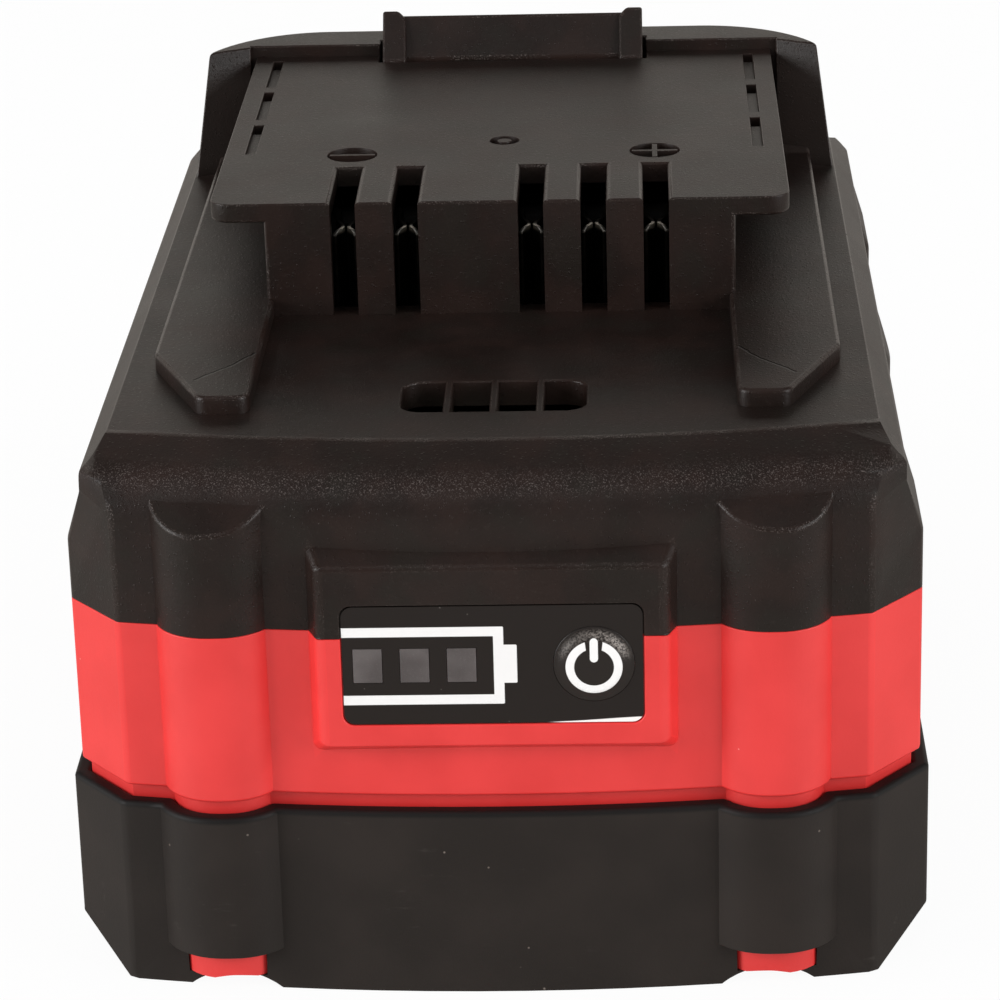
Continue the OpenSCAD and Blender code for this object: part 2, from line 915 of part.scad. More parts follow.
// The contact slots, polarity marks, gate mark and dashes of the terminal plate
module plate_cuts() {
    mark_y = plate_front + slot_l + mark_gap;
    dash_y = hood_front - 1.8 - dash_l;
    eye = 1.6 * dash_w;
    for (i = slots)
        translate([i * slot_pitch - slot_w / 2, plate_front - over, deck_z])
            cube([slot_w, slot_l + over, plate_h + over]);
    translate([0, mark_y, plate_z - mark_d])
        linear_extrude(2 * mark_d)
            for (s = [-1, 1])
                translate([2.5 * s * slot_pitch, 0])
                    polarity_mark(s);
    translate([0, mark_y + mark_gap, plate_z - mark_d])
        linear_extrude(2 * mark_d)
            difference() {
                circle(0.6 * mark_r);
                circle(0.6 * mark_r - 1.6 * mark_line);
            }
    for (s = [-1, 1], i = [0 : 2])
        translate([s * (plate_w / 2 - dash_in), dash_y - i * dash_pitch, plate_z]) {
            translate([-dash_w / 2, 0, -mark_d])
                cube([dash_w, dash_l, 2 * mark_d]);
            translate([-dash_w / 2, dash_l - eye, -plate_t - over])
                cube([dash_w, eye, plate_t + 2 * over]);
        }
}

// A sunk disc in which a minus sign is left standing, and a bar across that for a plus sign
module polarity_mark(s) {
    bar = 2 * mark_r - mark_line;
    difference() {
        circle(mark_r);
        square([bar, mark_line], center = true);
        if (s > 0)
            square([mark_line, bar], center = true);
    }
}

// The vent with its bars
module vent_cut() {
    step = vent_w / 4;
    translate([0, -half_l + vent_y, deck_z - wall_t - over])
        linear_extrude(wall_t + 2 * over)
            difference() {
                rounded(vent_w, vent_l, 2);
                for (i = [-1, 0, 1])
                    translate([i * step, 0])
                        square([vent_bar, vent_l], center = true);
            }
}

// The latch's way through the plate and the hood, and the thumb button's window
module latch_cuts() {
    g = latch_gap;
    translate([-latch_w / 2 - g, latch_front - g, flange_z - over])
        cube([latch_w + 2 * g, ear_d + 2 * g, far]);
    translate([-thumb_w / 2 - g, latch_rear + g, thumb_z - latch_travel - g])
        cube([thumb_w + 2 * g, far, thumb_h + latch_travel + 2 * g]);
}

module upper_housing() {
    color([0.2, 0.19, 0.18])
        difference() {
            union() {
                upper_core(0, part_z);
                upper_ribs();
                upper_pilasters();
                bezel(part_z, deck_z);
                rails();
                terminal_plate();
                hood();
            }
            upper_hollow();
            plate_cuts();
            vent_cut();
            latch_cuts();
            gauge_cuts();
            at_pilasters()
                translate([0, 0, part_z - over])
                    cylinder(r = screw_r + thread, h = grip_l + 2 * over);
        }
}

module label_film() {
    color([0.1, 0.1, 0.1])
        facing(film_front, label_t)
            difference() {
                translate([0, label_z])
                    rounded(label_w, label_h, 1);
                windows_2d(push / 2);
                button_2d(button_gap);
            }
}

module light_guide() {
    bar_y = flange_y + push;
    w = 2 * window_pitch + window_w;
    color([0.6, 0.6, 0.65])
        union() {
            facing(film_front, bar_y - film_front + guide_t / 2)
                windows_2d(0);
            translate([-window_x - w / 2, bar_y, label_z - window_h / 2])
                cube([w, guide_t, window_h]);
        }
}

module gauge_button() {
    dome_r = (pow(button_r, 2) + pow(dome_h, 2)) / (2 * dome_h);
    color([0.12, 0.12, 0.12])
        union() {
            facing(bezel_front, flange_y - bezel_front + push)
                button_2d(0);
            intersection() {
                facing(bezel_front - 2 * dome_h, 3 * dome_h)
                    button_2d(0);
                translate([button_x, bezel_front - dome_h + dome_r, label_z])
                    sphere(dome_r);
            }
            facing(flange_y, flange_t)
                button_2d(flange_w);
        }
}

module gauge_board() {
    color("seagreen")
        facing(gauge_y, gauge_t)
            translate([0, label_z])
                rounded(gauge_w, gauge_h, 1);
}

module gauge_lamps() {
    color("ivory")
        for (i = [-1, 0, 1])
            translate([i * window_pitch - window_x - lamp_w / 2, gauge_y - lamp_t, label_z - lamp_h / 2])
                cube([lamp_w, lamp_t, lamp_h]);
}

module switch_body() {
    color("gray")
        difference() {
            translate([button_x - switch_w / 2, switch_y, label_z - switch_w / 2])
                cube([switch_w, gauge_y - switch_y, switch_w]);
            facing(switch_y - over, button_travel + 2 * over)
                translate([button_x, label_z])
                    circle(plunger_r + button_gap);
        }
}

module switch_plunger() {
    color("black")
        facing(flange_y + flange_t, button_travel + over)
            translate([button_x, label_z])
                circle(plunger_r);
}

module gauge_ribbon() {
    low = board_top + 0.2;
    rear = board_front + 1;
    y = gauge_y + gauge_t;
    color("wheat")
        across(ribbon_w)
            polygon([
                [y, label_z + 3], [y + ribbon_t, label_z + 3], [y + ribbon_t, low],
                [rear, low], [rear, low + ribbon_t], [y, low + ribbon_t]
            ]);
}

module ribbon_socket() {
    color("ivory")
        translate([-socket_size[0] / 2, board_front + 1, board_top])
            cube(socket_size);
}

module latch() {
    w = latch_w / 2;
    low = stop_z - stop_t;
    lean = tan(hood_a);
    top = thumb_z + thumb_h;
    low_y = hood_edge + lean * (hood_z - thumb_z);
    top_y = hood_edge + lean * (hood_z - top);
    ear_z = latch_z + ear_h;
    web_y = latch_rear + push;
    grip_step = thumb_h / (grip_n + 1);
    skirt_y = half_l + bow - wall_t - 1;
    skirt_z = thumb_z - latch_travel - over;
    bend_z = thumb_z - 3.6;
    skirt_top = low_y - wall_t / cos(hood_a) - latch_gap;
    color([0.16, 0.15, 0.15])
        difference() {
            union() {
                intersection() {
                    facing(latch_front - over, far)
                        both_sides()
                            polygon([
                                [w - ear_w, low], [w, low], [w, ear_z],
                                [w - ear_w + ear_bevel, ear_z], [w - ear_w, ear_z - ear_bevel]
                            ]);
                    across(far)
                        polygon([
                            [latch_front, low], [latch_front, plate_z],
                            [latch_front + ear_lean, ear_z],
                            [latch_front + ear_d, ear_z], [latch_front + ear_d, low]
                        ]);
                }
                across(latch_w - ear_w)
                    polygon([
                        [latch_front + bar_back, low], [latch_front + bar_back, plate_z],
                        [latch_front + ear_lean, latch_z],
                        [latch_front + ear_d, latch_z], [latch_front + ear_d, low]
                    ]);
                translate([-w - stop_out, latch_front, low])
                    cube([latch_w + 2 * stop_out, latch_d, stop_t]);
                across(thumb_w)
                    polygon([
                        [web_y, thumb_z], [low_y + thumb_out, thumb_z], [top_y + thumb_out, top],
                        [latch_rear - over, top], [latch_rear - over, low], [web_y, low]
                    ]);
                for (k = [1 : grip_n])
                    translate([0, low_y + thumb_out - lean * grip_step * k, thumb_z + grip_step * k])
                        rotate([0, 90, 0])
                            cylinder(r = grip_r, h = thumb_w - 4, center = true);
                across(thumb_w + 3)
                    polygon([
                        [skirt_top - 2 * skirt_t, thumb_z + 1], [skirt_top - lean, thumb_z + 1],
                        [skirt_y, bend_z], [skirt_y, skirt_z],
                        [skirt_y - skirt_t, skirt_z], [skirt_y - skirt_t, bend_z]
                    ]);
            }
            for (s = [-1, 1])
                translate([s * spring_x, spring_y, low - over])
                    cylinder(r = spring_r + push, h = spring_top - low + over);
        }
}

module latch_bracket() {
    d = 2 * spring_r + over;
    w = strip_x - 1.5;
    color("gray")
        union() {
            translate([-w, bracket_y, bracket_z - bracket_t])
                cube([2 * w, d, bracket_t]);
            for (s = [-1, 1]) {
                translate([s * (w - foot_w / 2) - foot_w / 2, bracket_y, holder_z])
                    cube([foot_w, d, bracket_h]);
                translate([s * spring_x, spring_y, bracket_z - over])
                    cylinder(r = spring_r - spring_wire - 3 * push, h = peg_l + over);
            }
        }
}

// A coil spring from the bracket up to the latch
module latch_spring(s) {
    r = spring_r - spring_wire / 2;
    low = bracket_z + spring_wire / 2;
    rise = spring_top - spring_wire / 2 - low;
    steps = spring_turns * 14;
    sides = 6;
    points = [
        for (i = [0 : steps], j = [0 : sides - 1])
            let (a = 360 * spring_turns * i / steps, b = 360 * j / sides, q = r + spring_wire / 2 * cos(b))
            [q * cos(a), q * sin(a), low + rise * i / steps + spring_wire / 2 * sin(b)]
    ];
    walls = [
        for (i = [0 : steps - 1], j = [0 : sides - 1])
            let (k = (j + 1) % sides)
            [i * sides + j, (i + 1) * sides + j, (i + 1) * sides + k, i * sides + k]
    ];
    ends = [
        [for (j = [0 : sides - 1]) j],
        [for (j = [0 : sides - 1]) steps * sides + sides - 1 - j]
    ];
    color("silver")
        translate([s * spring_x, spring_y, 0])
            polyhedron(points, concat(walls, ends));
}

module case_screws() {
    color("silver")
        at_pilasters()
            difference() {
                union() {
                    translate([0, 0, seat_z - head_h])
                        cylinder(r = head_r, h = head_h);
                    translate([0, 0, seat_z - over])
                        cylinder(r = screw_r, h = part_z + grip_l - seat_z + over);
                }
                for (a = [0, 90])
                    rotate(a)
                        translate([0, 0, seat_z - head_h])
                            cube([1.2 * head_r, 0.3 * head_r, head_h], center = true);
            }
}

// One cell: a can with a groove and a raised end, turned over in every other column
module cell(i) {
    column = i % columns;
    color("steelblue")
        translate([0, (column - (columns - 1) / 2) * pitch, row_z[floor(i / columns)]])
            rotate([0, column % 2 == 0 ? 90 : -90, 0])
                difference() {
                    union() {
                        translate([0, 0, -cell_l / 2])
                            cylinder(d = cell_d, h = cell_l - cap_l);
                        cylinder(r = cap_r, h = cell_l / 2);
                    }
                    translate([0, 0, cell_l / 2 - 4])
                        rotate_extrude()
                            translate([cell_d / 2 - 0.5, 0])
                                square([1, 1]);
                }
}

// One cell holder, on the side s
module holder(s) {
    color([0.25, 0.25, 0.28])
        difference() {
            intersection() {
                translate([s * (strip_x - holder_l / 2), 0, floor_z]) {
                    translate([-holder_l / 2, -holder_y, 0])
                        cube([holder_l, 2 * holder_y, holder_z - floor_z]);
                    for (y = [-post_y, post_y])
                        translate([0, y, 0])
                            cylinder(r = post_r, h = board_z - floor_z);
                }
                union() {
                    above_keel(boot_out + boot_in + wall_t + push);
                    translate([-far / 2, -far / 2, part_z])
                        cube(far);
                }
            }
            for (i = [0 : columns - 1], z = row_z)
                translate([0, (i - (columns - 1) / 2) * pitch, z])
                    rotate([0, 90, 0])
                        cylinder(r = hole_r, h = far, center = true);
            at_posts()
                translate([0, 0, board_z - pin_l - over])
                    cylinder(r = pin_r + thread, h = pin_l + 2 * over);
        }
}

// A joining strip on the side s over the columns first to last, with a tab folded onto the board
module strip(s, first, last) {
    y0 = (first - (columns - 1) / 2) * pitch - strip_in;
    y1 = (last - (columns - 1) / 2) * pitch + strip_in;
    z0 = row_z[0] - strip_in;
    z1 = row_z[1] + strip_in;
    mid_y = (y0 + y1) / 2;
    edge = tab_w / 2 + push;
    tab_y = min(max(mid_y, board_front + edge), board_rear - edge);
    color("lightgray") {
        across(strip_t, s * (strip_x + strip_t / 2))
            difference() {
                union() {
                    translate([mid_y, (z0 + z1) / 2])
                        rounded(y1 - y0, z1 - z0, 2);
                    translate([min(mid_y, tab_y) - tab_w / 2, z1 - strip_in / 2])
                        square([abs(tab_y - mid_y) + tab_w, strip_in / 2]);
                    translate([tab_y - tab_w / 2, z1 - 2])
                        square([tab_w, board_top + strip_t - z1 + 2]);
                }
                translate([mid_y, (z0 + z1) / 2])
                    square([y1 - y0 - 2 * strip_slot_in, strip_slot_h], center = true);
            }
        translate([s * (strip_x - (board_side + tab_l) / 2), tab_y, board_top + strip_t / 2])
            cube([board_side + tab_l, tab_w, strip_t], center = true);
    }
}

module sheet(s) {
    color("tan")
        across(sheet_t, s * (strip_x + strip_t + sheet_t / 2))
            translate([0, (floor_z + sheet_low + holder_z) / 2])
                rounded(2 * holder_y - 1, holder_z - floor_z - sheet_low, 2);
}

module control_board() {
    color("darkgreen")
        difference() {
            translate([0, (board_front + board_rear) / 2, board_z])
                linear_extrude(board_t)
                    rounded(board_w, board_l, 2);
            at_posts()
                translate([0, 0, board_z - over])
                    cylinder(r = pin_r + push, h = board_t + 2 * over);
        }
}

module board_screws() {
    color("silver")
        at_posts()
            difference() {
                union() {
                    translate([0, 0, board_z - pin_l])
                        cylinder(r = pin_r, h = pin_l + board_t + over);
                    translate([0, 0, board_top])
                        cylinder(r = pin_head_r, h = pin_head_h);
                }
                for (a = [0, 90])
                    rotate(a)
                        translate([0, 0, board_top + pin_head_h])
                            cube([1.2 * pin_head_r, 0.3 * pin_head_r, pin_head_h], center = true);
            }
}

module transistors() {
    color([0.1, 0.1, 0.1])
        for (i = [-1.5, -0.5, 0.5, 1.5])
            translate([i * transistor_pitch - transistor_size[0] / 2, transistor_y, board_top])
                cube(transistor_size);
}

module control_chip() {
    color([0.08, 0.08, 0.08])
        translate([-chip_size[0] / 2, chip_y, board_top])
            cube(chip_size);
}

module fuse() {
    color("beige")
        translate([fuse_x, chip_y, board_top])
            cube(fuse_size);
}

module thermistor() {
    r = 1.2;
    z = row_z[1] + sqrt(pow(cell_d / 2 + r + push, 2) - pow(pitch / 2, 2));
    color("black")
        translate([0, pitch / 2, z])
            union() {
                rotate([0, 90, 0])
                    cylinder(r = r, h = 4, center = true);
                for (x = [-1, 1])
                    translate([x, 0, 0])
                        cylinder(r = 0.3, h = board_z - z);
            }
}

// The comb that holds the contact clips on the control board
module terminal_carrier() {
    slit = 2 * (clip_w + leaf_t + push);
    color([0.15, 0.15, 0.16])
        difference() {
            translate([-carrier_x, clip_front, board_top])
                cube([2 * carrier_x, carrier_l, clip_top - carrier_low - board_top]);
            for (i = slots)
                translate([i * slot_pitch - slit / 2, clip_front - over, board_top - over])
                    cube([slit, clip_l + over, far]);
        }
}

// One contact clip: two leaves that close to a throat and open to a mouth at the front
module contact(i) {
    bend_y = 0.6 * clip_l;
    path = [[0.8 * clip_w, 2 * push], [throat_w, 0.28 * clip_l], [clip_w, bend_y], [clip_w, clip_l]];
    color("gold")
        translate([slots[i] * slot_pitch, clip_front, board_top])
            union() {
                for (s = [0, 1])
                    mirror([s, 0, 0])
                        linear_extrude(clip_top - board_top)
                            polygon(concat(path, [for (k = [3 : -1 : 0]) path[k] + [leaf_t, 0]]));
                translate([-clip_w - leaf_t, clip_l - leaf_t, 0])
                    cube([2 * (clip_w + leaf_t), leaf_t, clip_top - board_top - 2]);
                translate([-clip_w - leaf_t, bend_y, 0])
                    cube([2 * (clip_w + leaf_t), clip_l - bend_y, leaf_t]);
            }
}

upper_housing();
lower_housing();
boot();
label_film();
light_guide();
gauge_button();
gauge_board();
gauge_lamps();
switch_body();
switch_plunger();
gauge_ribbon();
ribbon_socket();
latch();
latch_bracket();
latch_spring(-1);  // latch_spring_left
latch_spring(1);  // latch_spring_right
case_screws();
holder(-1);  // holder_left
holder(1);  // holder_right
cell(0);  // cell_1
cell(1);  // cell_2
cell(2);  // cell_3
cell(3);  // cell_4
cell(4);  // cell_5
cell(5);  // cell_6
cell(6);  // cell_7
cell(7);  // cell_8
cell(8);  // cell_9
cell(9);  // cell_10
strip(-1, 0, 0);  // strip_1
strip(1, 0, 1);  // strip_2
strip(-1, 1, 2);  // strip_3
strip(1, 2, 3);  // strip_4
strip(-1, 3, 4);  // strip_5
strip(1, 4, 4);  // strip_6
sheet(-1);  // sheet_left
sheet(1);  // sheet_right
control_board();
board_screws();
transistors();
control_chip();
fuse();
thermistor();
terminal_carrier();
contact(0);  // contact_1
contact(1);  // contact_2
contact(2);  // contact_3
contact(3);  // contact_4
contact(4);  // contact_5
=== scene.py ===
# %% [markdown]
# A battery pack for cordless tools is a stack of moulded shells round a block of cells.
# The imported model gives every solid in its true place, so this lesson only dresses it.
# Each step takes one piece or one finish of the real pack and says how it is made.

# %% Load the frame
import math

import bmesh
import bpy
import numpy as np
from mathutils import Matrix, Vector


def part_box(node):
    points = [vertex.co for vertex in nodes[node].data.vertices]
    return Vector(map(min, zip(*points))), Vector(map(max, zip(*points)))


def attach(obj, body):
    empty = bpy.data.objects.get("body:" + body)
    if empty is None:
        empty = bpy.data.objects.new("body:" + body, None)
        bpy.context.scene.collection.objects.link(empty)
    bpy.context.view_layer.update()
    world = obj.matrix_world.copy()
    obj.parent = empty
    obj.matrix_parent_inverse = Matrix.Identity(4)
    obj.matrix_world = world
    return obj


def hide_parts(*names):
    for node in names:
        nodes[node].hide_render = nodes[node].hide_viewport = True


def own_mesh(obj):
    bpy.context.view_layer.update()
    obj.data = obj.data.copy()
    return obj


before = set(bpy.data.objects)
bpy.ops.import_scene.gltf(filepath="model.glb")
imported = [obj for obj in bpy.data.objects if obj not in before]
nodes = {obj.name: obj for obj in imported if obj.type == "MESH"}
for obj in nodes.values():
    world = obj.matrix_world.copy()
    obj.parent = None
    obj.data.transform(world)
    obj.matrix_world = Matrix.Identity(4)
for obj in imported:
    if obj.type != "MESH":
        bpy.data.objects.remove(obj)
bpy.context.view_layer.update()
mm = 0.001
print("solids in the frame:", len(nodes))

# %% [markdown]
# The camera comes first, because every finish is judged through it.
# A studio photographer stands a little above the pack and looks down on its gauge.
# A position, three angles and a lens are enough to say that, so the view is worked out from them.

# %% Camera
azimuth, elevation, roll = math.radians(2.203), math.radians(21.357), math.radians(-1.546)
stand = Vector((13.14, -371.37, 171.17)) * mm
lens_mm, sensor_mm = 141.06, 36


def view_axes(turn, rise, tilt):
    """Right, up and back of a camera: back points at it from the object, and tilt turns the other two."""
    back = Vector((math.sin(turn) * math.cos(rise), -math.cos(turn) * math.cos(rise), math.sin(rise)))
    level = Vector((math.cos(turn), math.sin(turn), 0))
    upright = back.cross(level)
    right = level * math.cos(tilt) + upright * math.sin(tilt)
    up = upright * math.cos(tilt) - level * math.sin(tilt)
    return right, up, back


camera = bpy.data.objects.new("camera", bpy.data.cameras.new("camera"))
camera.data.lens = lens_mm
camera.data.sensor_width = sensor_mm
facing = Matrix(view_axes(azimuth, elevation, roll)).transposed().to_4x4()
camera.matrix_world = Matrix.Translation(stand) @ facing
bpy.context.scene.collection.objects.link(camera)
bpy.context.scene.camera = camera
print("camera at", [round(c, 4) for c in stand])

# %% [markdown]
# Shader maths reads best as plain formulas.
# One small class wraps a socket, so that `1 - mask` adds the Math node for it.
# Its method `node` adds any other kind of node, first its settings and then its sockets.


# %% Shader maths
class Shade:
    """A shader socket that Python's operators work on, and a way to add nodes to its tree."""

    def __init__(self, tree, socket=None):
        self.tree, self.socket = tree, socket

    def node(self, kind, settings=None, sockets=None, out=0):
        """Adds one node, sets it up, feeds its sockets with values or links, and wraps one output."""
        made = self.tree.nodes.new(kind)
        for name, value in (settings or {}).items():
            setattr(made, name, value)
        for name, value in (sockets or {}).items():
            if isinstance(value, Shade):
                self.tree.links.new(value.socket, made.inputs[name])
            else:
                made.inputs[name].default_value = value
        return Shade(self.tree, made.outputs[out])

    def math(self, operation, *values):
        """One Math node."""
        return self.node("ShaderNodeMath", {"operation": operation}, dict(enumerate(values)))

    def __add__(self, other):
        return self.math("ADD", self, other)

    def __sub__(self, other):
        return self.math("SUBTRACT", self, other)

    def __mul__(self, other):
        return self.math("MULTIPLY", self, other)

    def __truediv__(self, other):
        return self.math("DIVIDE", self, other)

    def __pow__(self, other):
        return self.math("POWER", self, other)

    def __and__(self, other):
        return self.math("MINIMUM", self, other)

    def __or__(self, other):
        return self.math("MAXIMUM", self, other)

    def __abs__(self):
        return self.math("ABSOLUTE", self)

    def __radd__(self, other):
        return self.math("ADD", other, self)

    def __rsub__(self, other):
        return self.math("SUBTRACT", other, self)

    def __rmul__(self, other):
        return self.math("MULTIPLY", other, self)

    def step(self, low, high):
        """0 below low, 1 above high, and a smooth rise between them."""
        return self.node(
            "ShaderNodeMapRange",
            {"interpolation_type": "SMOOTHSTEP"},
            {"Value": self, "From Min": low, "From Max": high},
        )

    def inside(self, low, high, soft):
        """1 between low and high, 0 outside, with an edge of `soft` on either side."""
        return self.step(low - soft, low + soft) * (1 - self.step(high - soft, high + soft))

    def blend(self, first, second):
        """The first colour where this mask is 0 and the second where it is 1."""
        return self.node(
            "ShaderNodeMix", {"data_type": "RGBA"}, {"Factor": self, "A": first, "B": second}, out="Result"
        )


# %% [markdown]
# Every finish starts alike: a Principled shader, and the point on the object in millimetres.
# Noise, specks and scratches are then sized as a ruler would measure them on the pack.


# %% Finish helpers
def tone(red, green, blue):
    """A colour from three screen values of 0 to 255, turned into the linear ones that shaders use."""
    screen = np.array([red, green, blue]) / 255
    linear = np.where(screen <= 0.04045, screen / 12.92, ((screen + 0.055) / 1.055) ** 2.4)
    return (*linear.tolist(), 1)


def paint(name, **constants):
    """A new material: the material, its Principled shader, the point and its x, y and z in millimetres."""
    material = bpy.data.materials.new(name)
    material.use_nodes = True
    tree = material.node_tree
    shader = tree.nodes["Principled BSDF"]
    for socket, value in constants.items():
        shader.inputs[socket.replace("_", " ")].default_value = value
    point = Shade(tree).node("ShaderNodeTexCoord", out="Object")
    point = point.node("ShaderNodeVectorMath", {"operation": "SCALE"}, {0: point, "Scale": 1000})
    axes = point.node("ShaderNodeSeparateXYZ", sockets={0: point}).socket.node.outputs
    return material, shader, point, [Shade(tree, axis) for axis in axes]


def noise(point, grain, detail=2.0, rough=0.5, stretch=(1, 1, 1)):
    """Cloudy noise around 0.5, with patches about `grain` millimetres across.

    They are longer along an axis whose share of `stretch` is below 1.
    """
    if stretch != (1, 1, 1):
        point = point.node("ShaderNodeVectorMath", {"operation": "MULTIPLY"}, {0: point, 1: stretch})
    return point.node(
        "ShaderNodeTexNoise",
        None,
        {"Vector": point, "Scale": 1 / grain, "Detail": detail, "Roughness": rough},
    )


def specks(point, spacing, size):
    """1 in the middle of a random spot, 0 outside it: one spot to each cell of `spacing` millimetres."""
    reach = point.node("ShaderNodeTexVoronoi", None, {"Vector": point, "Scale": 1 / spacing}, out="Distance")
    return 1 - reach.step(0.5 * size / spacing, size / spacing)


def feed(shader, **links):
    """Links values to the shader's sockets by name."""
    for socket, value in links.items():
        value.tree.links.new(value.socket, shader.inputs[socket.replace("_", " ")])


def bump(shader, height, depth, strength):
    """A relief of `depth` millimetres on the shader's Normal."""
    sockets = {"Height": height, "Distance": depth * mm, "Strength": strength}
    feed(shader, Normal=height.node("ShaderNodeBump", None, sockets))


def dress(piece, *materials):
    """Gives a piece its materials, in the order of their slots."""
    filled = piece.data.materials
    for place, material in enumerate(materials):
        if place < len(filled):
            filled[place] = material
        else:
            filled.append(material)


print("a screen grey of 128 is", round(tone(128, 128, 128)[0], 3), "in light")


# %% [markdown]
# The upper shell is warm brown-black plastic from a spark-eroded mould.
# Its skin is a fine, even grain that sparkles on rounded edges and dulls the flat faces.
# Noise of a third of a millimetre makes the grain, and a slow noise makes colour and gloss uneven.
# Pale glints are painted into the colour: painted highlights on the round of the brow, and wear and painted
# highlights on every rounded edge.
# The hood's arms, which close the rail channels, have a paler colour here.
# In the photograph more light reaches them than these lamps bring, and the colour makes up a part of it.
# On each rail two parts of the mould met, and a thin bent line still shows where.

# %% Dark moulded plastic
rail_line = [(27.3, -36.4), (24.3, -32.7), (22.4, -29.2)]
rail_low, brow_low, brow_high = 51.6, 47.6, 49.2
greenish, reddish, fleck = (0.0125, 0.0112, 0.0085, 1), (0.025, 0.0115, 0.0085, 1), (0.040, 0.029, 0.024, 1)
arm_pale, glint_pale, line_dark = (0.042, 0.032, 0.028, 1), (0.12, 0.1, 0.092, 1), (0.001, 0.0008, 0.0007, 1)


def line_near(u, v, start, end):
    """How far the point (u, v) lies from the straight line between two points."""
    du, dv = end[0] - start[0], end[1] - start[1]
    share = ((u - start[0]) * du + (v - start[1]) * dv) / (du * du + dv * dv) | 0
    share = share & 1
    return ((u - start[0] - share * du) ** 2 + (v - start[1] - share * dv) ** 2) ** 0.5


def dark_plastic(name, lift=1.0, polish=0.0, wear_and_glints=0.0):
    """Grained dark plastic: lift scales its colour, polish smooths it, and wear_and_glints adds wear and
    painted glints.
    """
    material, shader, point, (x, y, z) = paint(name, Specular_IOR_Level=0.28)
    grain = noise(point, 0.34, 5.0, 0.7)
    cloud, tint = noise(point, 9.0, 4.0), noise(point, 5.0, 3.0)
    spark = specks(point, 0.5, 0.12)
    dull, warm = np.array([0.0125, 0.0071, 0.0056]) * lift, np.array([0.0175, 0.0103, 0.0083]) * lift
    base = cloud.step(0.35, 0.68).blend((*dull, 1), (*warm, 1))
    base = (0.4 * tint.step(0.5, 0.64)).blend(base, greenish)
    base = (0.3 - 0.3 * tint.step(0.36, 0.5)).blend(base, reddish)
    base = (grain.step(0.56, 0.72) * 0.35).blend(base, fleck)
    # Pale specks in the colour: painted highlights on the round of the brow, and wear and painted highlights
    # on the rounded edges, more of them higher up.
    glint = noise(point, 0.13, 2.0, 0.5).step(0.54, 0.68)
    brow = z.inside(brow_low, brow_high, 0.6) * abs(y).step(44, 46)
    arm = abs(x).step(28.2, 28.6) * y.inside(33.5, 44, 0.5) * z.inside(50.8, 60.5, 1.5)
    base = (arm * 0.6).blend(base, arm_pale)
    edge_wear_and_glint = wear_and_glints * tint.step(0.35, 0.6) * (0.3 + 0.7 * z.step(43, 46))
    base = (glint * (0.55 * brow | edge_wear_and_glint)).blend(base, glint_pale)
    bent = abs(x) + 0.5 * noise(point, 1.2, 2.0) - 0.25
    near = line_near(bent, y, rail_line[0], rail_line[1]) & line_near(bent, y, rail_line[1], rail_line[2])
    witness = (1 - near.step(0.07, 0.18)) * z.step(rail_low, rail_low + 0.4)
    base = (witness * 0.9).blend(base, line_dark)
    feed(shader, Base_Color=base, Roughness=0.34 - polish + 0.12 * cloud + 0.06 * grain - 0.12 * spark)
    bump(shader, grain + 0.6 * spark - 2 * witness, 0.055, 0.75)
    return material


housing_black = dark_plastic("housing_black")
# The rounded edges take a copy a tenth lighter, a painted highlight, with pale specks of wear and painted
# glints.
housing_edge = dark_plastic("housing_edge", 1.1, 0.08, 0.8)
print("finishes:", housing_black.name, housing_edge.name)

# %% [markdown]
# The red shell shares the grain, but its colour hides most of it.
# Its colour is a little uneven, the rounded edges are a shade brighter as a painted highlight, and fine dust
# clings to it.


# %% Red moulded plastic
def red_plastic(name, lift=1.0):
    """Satin red plastic with faint clouds, a fine grain and a little dust; lift scales its red."""
    material, shader, point, _ = paint(name, Specular_IOR_Level=0.6)
    cloud = noise(point, 7.0, 4.0)
    grain = noise(point, 0.3, 4.0, 0.65)
    base = cloud.step(0.3, 0.7).blend((0.65 * lift, 0.021, 0.019, 1), (0.71 * lift, 0.028, 0.026, 1))
    dust = specks(point, 2.6, 0.1) & noise(point, 4.0, 2.0).step(0.52, 0.64)
    base = (dust * 0.5).blend(base, (0.88, 0.5, 0.47, 1))
    feed(shader, Base_Color=base, Roughness=0.4 + 0.12 * cloud + 0.1 * grain)
    bump(shader, grain, 0.03, 0.45)
    return material


housing_red = red_plastic("housing_red")
# The rounded edges take a copy with a twentieth more red, a painted highlight.
red_edge = red_plastic("red_edge", 1.05)
print("finishes:", housing_red.name, red_edge.name)

# %% [markdown]
# The boot is a soft overmould: matte, nearly black, and it picks up dust and scuffs.
# A dark line runs along its upper rim in the photograph: the shade of the gap under the red shell, painted in,
# so the rim is near black and free of dust.

# %% Boot rubber
rim_low, rim_high = 17.3, 17.7


def boot_rubber(name):
    """Matte rubber with pale dust specks, short scuffs and painted shade along the upper rim."""
    material, shader, point, (x, y, z) = paint(name, Specular_IOR_Level=0.4)
    cloud = noise(point, 11.0, 4.0)
    grain = noise(point, 0.3, 4.0, 0.65)
    dust = specks(point, 2.2, 0.14) & noise(point, 5.0, 2.0).step(0.48, 0.6)
    scuff = noise(point, 1.1, 5.0, 0.7, (0.2, 1, 1)).step(0.6, 0.74) * noise(point, 13.0, 2.0).step(0.48, 0.6)
    base = cloud.step(0.35, 0.7).blend((0.0125, 0.0082, 0.0062, 1), (0.0185, 0.0124, 0.0096, 1))
    base = (scuff * 0.35).blend(base, (0.07, 0.06, 0.052, 1))
    # Painted shade: the upper rim, in the gap under the red shell, is near black and free of dust.
    rim = z.step(rim_low, rim_high)
    base = rim.blend(base, (0.003, 0.002, 0.0018, 1))
    base = (dust * (0.7 - 0.7 * rim)).blend(base, (0.2, 0.165, 0.14, 1))
    feed(shader, Base_Color=base, Roughness=0.56 + 0.16 * cloud)
    bump(shader, grain, 0.035, 0.5)
    return material


